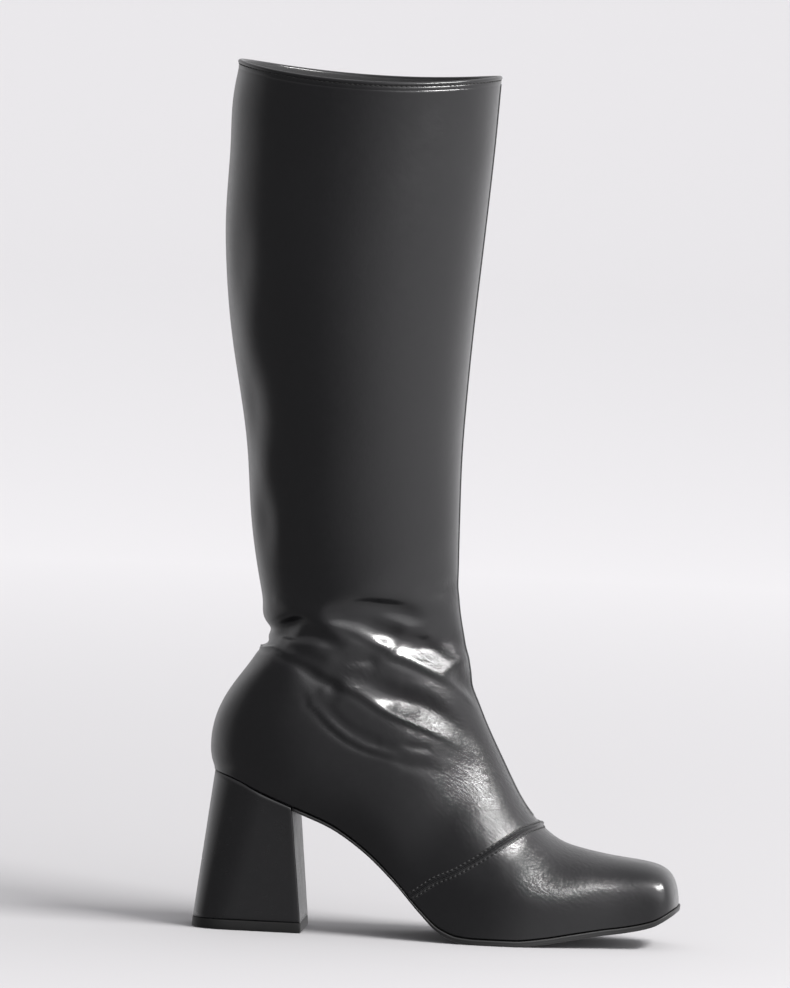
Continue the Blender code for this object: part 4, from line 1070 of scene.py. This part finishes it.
def make_collar(leather, lining, thread, shift):
    """Rolled edge of the shaft, with the row of stitches in the groove under it."""
    shares = np.linspace(0, 1, 141)
    path, lower = (toe_bend(section(LAST_SECTION - down, shares)[:-1]) + shift for down in (0, 0.22))
    slope = (lower - path) / np.maximum(path[:, 2] - lower[:, 2], 1e-6)[:, None]
    slope[:, 2] = 0
    tangent = np.roll(path, -1, axis=0) - np.roll(path, 1, axis=0)
    normal = unit(np.column_stack([tangent[:, 1], -tangent[:, 0], 0 * tangent[:, 0]]))
    rise = GAP + BINDING_HEIGHT
    groove = rise - COLLAR_ROLL
    # Columns: outwards from the skin and upwards from its rim in metres.
    outside = (
        (-0.0002, -0.0012), (0.0001, -0.0008), (0.0001, groove - 0.0006), (-0.0001, groove - 0.0003),
        (-0.0002, groove), (0.0000, groove + 0.0003), (0.0004, groove + 0.0005), (0.0006, groove + 0.0010),
        (0.0005, rise - 0.0006), (0.0001, rise - 0.0002), (-0.0005, rise), (-0.0012, rise - 0.0001),
        (-0.0018, rise - 0.0005),
    )
    inside = (
        (-0.0022, rise - 0.0012), (-0.0022, groove), (-0.0021, -0.0030), (-0.0021, -0.0090),
        (-0.0016, -0.0095),
    )
    profile = (*outside, *inside, (-0.0012, -0.0060))
    kinds = [0] * len(outside) + [1] * len(inside) + [0]
    rings = []
    for foot, way, lean in zip(path, normal, slope):
        rings.append([foot + way * out + np.array([0, 0, up]) + lean * max(-up, 0) for out, up in profile])
    edge = shell("boot_collar_edge", rings, [leather, lining], kinds=kinds)
    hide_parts("collar_binding")
    row = path - normal * 0.00004 + np.array([0, 0, groove])
    row, ways = (np.concatenate([v, v[:1]]) for v in (row, normal))
    stitches("boot_collar_stitches", [(row, ways)], 0.0027, 0.0021, 0.00024, thread)


def plan_ring(stations, grow, across):
    """Closed ring round the plan at the stations: outer side, toe edge, inner side, back edge."""
    sides = plan(stations)
    outer = np.column_stack([stations, -sides[:, 0]])
    inner = np.column_stack([stations, sides[:, 1]])[::-1]
    shares = np.linspace(0, 1, across + 2)[1:-1, None]
    toe = outer[-1] + (inner[0] - outer[-1]) * shares
    back = inner[-1] + (outer[0] - inner[-1]) * shares
    ring = np.concatenate([outer, toe, inner, back])
    tangent = np.roll(ring, -1, axis=0) - np.roll(ring, 1, axis=0)
    normal = unit(np.column_stack([tangent[:, 1], -tangent[:, 0]]))
    back_edge = np.arange(len(ring)) >= len(ring) - across
    normal[back_edge] = 0
    normal[0, 0] = normal[2 * len(stations) + across - 1, 0] = 0
    return ring + normal * grow


def strip_caps(total, across, pointed=0):
    """Faces of a cap whose ring runs up one side, `across` along the end, and back."""
    sides = (total + pointed - across) // 2
    last = total + pointed - 1
    caps = [[i, i + 1, last - 1 - i, last - i] for i in range(sides - 1)]
    caps.append(list(range(sides - 1, sides + across + 1)))
    if pointed:
        caps[0] = [0, 1, total - 1]
    return caps


def sole_thickness(x):
    blend = smooth_step((x / LENGTH - 0.44) / 0.14)
    return SHANK_THICKNESS + (SOLE_THICKNESS - SHANK_THICKNESS) * blend


def make_outsole(rubber, shift):
    """The outsole with its rounded edge, thinner under the arch."""
    across = 9
    # Columns: how far the edge stands out beyond the feather line, depth as a share of the thickness.
    edge = (
        (0.1, 0.0), (0.75, 0.02), (1.0, 0.10), (1.05, 0.30), (0.85, 0.42), (0.80, 0.55), (0.85, 0.75),
        (0.55, 0.92), (-0.2, 1.0),
    )
    straight = np.linspace(HEEL_TOP_LENGTH + GAP, LENGTH - TOE_ROUND, 110)
    turn = LENGTH - TOE_ROUND * (1 - np.sin(np.linspace(0, math.pi / 2, 26)[1:]))
    stations = np.concatenate([straight, turn])
    rings = []
    for out, depth in edge:
        ring = plan_ring(stations, SOLE_OVERHANG * out, across)
        height = feather(ring[:, 0]) - SOLE_GAP - depth * sole_thickness(ring[:, 0])
        rings.append(toe_bend(np.column_stack([ring, height])) + shift)
    total = len(rings[0])
    back_edge = [0] + list(range(total - across - 1, total))
    sole = shell("boot_outsole", rings, [rubber], strip_caps(total - across, across) + [back_edge])
    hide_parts("outsole")


def heel_ring(back, front, half_width, roundness, squareness, across, bevel):
    """D-shaped ring: rounded back, straight sides, straight breast with narrow rounded corners."""
    start = np.linspace(0, 1, 26)
    x = back + roundness * (1 - np.cos(start * math.pi / 2))
    x = np.concatenate([x, np.linspace(back + roundness, front - bevel, 12)[1:]])
    into = np.clip((back + roundness - x) / roundness, 0, 1)
    widths = half_width * (1 - into**squareness) ** (1 / squareness)
    corner = np.linspace(0, math.pi / 2, 5)[1:]
    x = np.concatenate([x, front - bevel + bevel * np.sin(corner)])
    widths = np.concatenate([widths, half_width - bevel + bevel * np.cos(corner)])
    outer = np.column_stack([x, -widths])
    inner = np.column_stack([x, widths])[:0:-1]
    shares = np.linspace(0, 1, across + 2)[1:-1, None]
    breast = outer[-1] + (inner[0] - outer[-1]) * shares
    return np.concatenate([outer, breast, inner])


def heel_rings(heights, across, bevel):
    """The block's rings from the seat down to the lift, and the lowest one's plan."""
    inset = HEEL_INSET
    top_width = 0.5 * SEAT_WIDTH - inset
    top = heel_ring(HEEL_SEAT_X + inset, HEEL_TOP_LENGTH, top_width, HEEL_ROUND, 2.2, across, bevel)
    back = -HEEL_FLARE_BACK + HEEL_SEAT_X
    front = HEEL_BOTTOM_LENGTH + HEEL_SEAT_X - HEEL_FLARE_BACK
    low = heel_ring(back, front, 0.5 * HEEL_BOTTOM_WIDTH, 0.40 * HEEL_BOTTOM_LENGTH, 3.0, across, bevel)
    seat = feather(np.clip(top[:, 0], 0, LENGTH)) - HEEL_SEAT_GAP
    rings = []
    for share in heights:
        height = seat + (LIFT_HEIGHT + GAP - seat) * share
        rings.append(np.column_stack([top + (low - top) * share, height]))
    return rings, low


def make_heel(wrap, breast, rubber, shift):
    """The wrapped block and the lift under it."""
    across = 9
    rings, low = heel_rings(np.linspace(0, 1, 30), across, 0.0009)
    caps = strip_caps(len(low), across, 1)
    block = shell("boot_heel", [r + shift for r in rings], [wrap, breast], caps)
    for face in block.data.polygons:
        face.material_index = 1 if face.normal.x > 0.9 else 0
    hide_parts("heel_block")
    drop = HEEL_FLARE_BACK * LIFT_HEIGHT / HEEL_HEIGHT
    out = unit(low - np.array([low[:, 0].mean(), 0.0]))
    # Columns: outwards from the block's lower ring, height.
    edge = (
        (-0.00045, LIFT_HEIGHT + 0.0001), (-0.00005, LIFT_HEIGHT - 0.0002), (0.00015, LIFT_HEIGHT - 0.0007),
        (drop * 0.6, 0.45 * LIFT_HEIGHT), (drop, 0.0009), (drop - 0.0002, 0.0003), (drop - 0.0006, 0.0),
    )
    layers = [np.column_stack([low + out * grow, np.full(len(low), height)]) + shift for grow, height in edge]
    lift = shell("boot_heel_lift", layers, [rubber], caps)
    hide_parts("heel_top_lift")


def emitter(name, place, target, width, height, power, colour=(1, 1, 1)):
    lamp = bpy.data.lights.new(name, "AREA")
    lamp.shape = "RECTANGLE"
    lamp.size = width
    lamp.size_y = height
    lamp.energy = power
    lamp.color = colour
    obj = bpy.data.objects.new(name, lamp)
    obj.location = place
    obj.rotation_euler = (Vector(target) - Vector(place)).to_track_quat("-Z", "Y").to_euler()
    bpy.context.scene.collection.objects.link(obj)
    return obj


def make_world():
    """Studio surroundings: dark from the heel side, brighter towards the toe and round the key light."""
    world = bpy.data.worlds.new("studio")
    bpy.context.scene.world = world
    world.use_nodes = True
    tree = world.node_tree
    ways = add_node(tree, "TexCoord", {}).outputs["Generated"]
    # Columns: direction, the share of it where the light starts and is full, and what it adds.
    parts = (
        ((1.0, 0.0, 0.0), -0.45, 1.15, 1.20),
        ((0.0, 1.0, 0.0), 0.0, 0.8, 0.25),
        ((0.0, 0.0, 1.0), 0.3, 0.9, 0.30),
        (GLOW, 0.80, 1.0, 1.7),
        ((-0.87, 0.50, 0.0), 0.72, 1.0, 0.5),
    )
    total = AMBIENT
    for way, start, stop, gain in parts:
        towards = add_node(tree, "VectorMath", {0: ways, 1: way}, operation="DOT_PRODUCT").outputs["Value"]
        total = combined(tree, "ADD", ramp(tree, towards, start, stop, 0.0, gain, "SMOOTHSTEP"), total)
    set_inputs(tree, tree.nodes["Background"], {"Strength": total, "Color": (1.0, 0.99, 1.01, 1)})


def make_floor():
    """Pale paper sweep, turned up behind the boot; its glow, rising away from the boot, is painted light that
    brightens the far paper in place of a lamp.
    """
    material, tree, shader, coords = new_material("studio_floor")
    away = add_node(tree, "VectorMath", {0: coords}, operation="LENGTH").outputs["Value"]
    inputs = {
        "Base Color": (0.384, 0.380, 0.388, 1),
        "Emission Color": (1.0, 0.985, 1.0, 1),
        # Painted light: the paper glows from nothing near the boot to full strength far from it.
        "Emission Strength": ramp(tree, away, 0.15, 2.7, 0.0, 0.40),
        "Roughness": 0.9,
        "Specular IOR Level": 0.1,
    }
    set_inputs(tree, shader, inputs)
    wide, deep, tall, turn = 9.0, 8.5, 4.0, 1.5
    start = deep - turn
    angles = np.linspace(0, math.pi / 2, 16)
    profile = [(-wide, 0.0)] + [(start + turn * math.sin(a), turn - turn * math.cos(a)) for a in angles]
    profile.append((deep, tall))
    vertices = [(x, y, z) for y, z in profile for x in (-wide, wide)]
    mesh = bpy.data.meshes.new("studio_floor")
    mesh.from_pydata(vertices, [], grid_quads(np.arange(len(vertices)).reshape(-1, 2)).tolist())
    mesh.materials.append(material)
    mesh.shade_smooth()
    sheet = bpy.data.objects.new("studio_floor", mesh)
    bpy.context.scene.collection.objects.link(sheet)
    sheet.visible_glossy = False


def make_camera():
    """The photo's view: a long lens 6.5 m away, seen a little from the heel and from above."""
    heading, pitch, roll = (math.radians(angle) for angle in (4.27879, 3.74507, 2.45))
    level = Vector((-math.sin(heading), math.cos(heading), 0))
    forward = level * math.cos(pitch) - Vector((0, 0, math.sin(pitch)))
    right = forward.cross(Vector((0, 0, 1))).normalized()
    up = right.cross(forward)
    turned_right = right * math.cos(roll) + up * math.sin(roll)
    turned_up = -right * math.sin(roll) + up * math.cos(roll)
    data = bpy.data.cameras.new("photo_view")
    data.lens = 442.13
    data.sensor_width = 36
    data.sensor_fit = "AUTO"
    data.clip_end = 60
    obj = bpy.data.objects.new("photo_view", data)
    matrix = Matrix((turned_right, turned_up, -forward)).transposed().to_4x4()
    matrix.translation = CAMERA_PLACE
    obj.matrix_world = matrix
    bpy.context.scene.collection.objects.link(obj)
    bpy.context.scene.camera = obj


def main():
    bpy.context.scene.view_settings.view_transform = "Standard"
    shift = part_to_world()
    black, sheen = (0.0040, 0.0040, 0.0046), (0.0056, 0.0055, 0.0062)
    leather = leather_material("boot_leather", black, sheen, 0.21, 1.0, WORN)
    lining = cloth_material("boot_lining", (0.012, 0.012, 0.013), (0.020, 0.020, 0.021), 0.0006)
    wrap = leather_material("boot_heel_wrap", (0.0045, 0.0045, 0.0050), (0.0060, 0.0059, 0.0066), 0.24, 0.2)
    breast = streaked_material("boot_heel_breast", (0.0045, 0.0045, 0.0050), (0.0090, 0.0089, 0.0096), 0.30)
    rubber = plain_material("boot_sole_rubber", [0.008] * 3, [0.013] * 3, 0.5, 700.0, 0.0001)
    tip = plain_material("boot_tip_rubber", [0.004] * 3, [0.007] * 3, 0.6, 900.0, 0.00012, 0.25)
    thread = plain_material("boot_thread", [0.012] * 3, [0.022] * 3, 0.6, 3000.0, 0.00004)
    sock = cloth_material("boot_sock", (0.026, 0.024, 0.023), (0.036, 0.034, 0.032), 0.0008)
    sheet = Sheet(shift)
    outer = make_skin(leather, lining, sheet)
    surface = Surface(outer)
    make_vamp_seam(surface, sheet, leather, thread)
    make_front_seam(surface, sheet, leather)
    make_collar(leather, lining, thread, shift)
    make_outsole(rubber, shift)
    make_heel(wrap, breast, tip, shift)
    node = bpy.data.objects["insole"]
    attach(node, "root")
    for slot in node.material_slots:
        slot.material = sock
    make_floor()
    make_world()
    emitter("key", tuple(3.0 * v for v in KEY), (0.0, 0.0, 0.10), 1.6, 0.34, 135, (1.0, 0.99, 0.98))
    make_camera()


main()
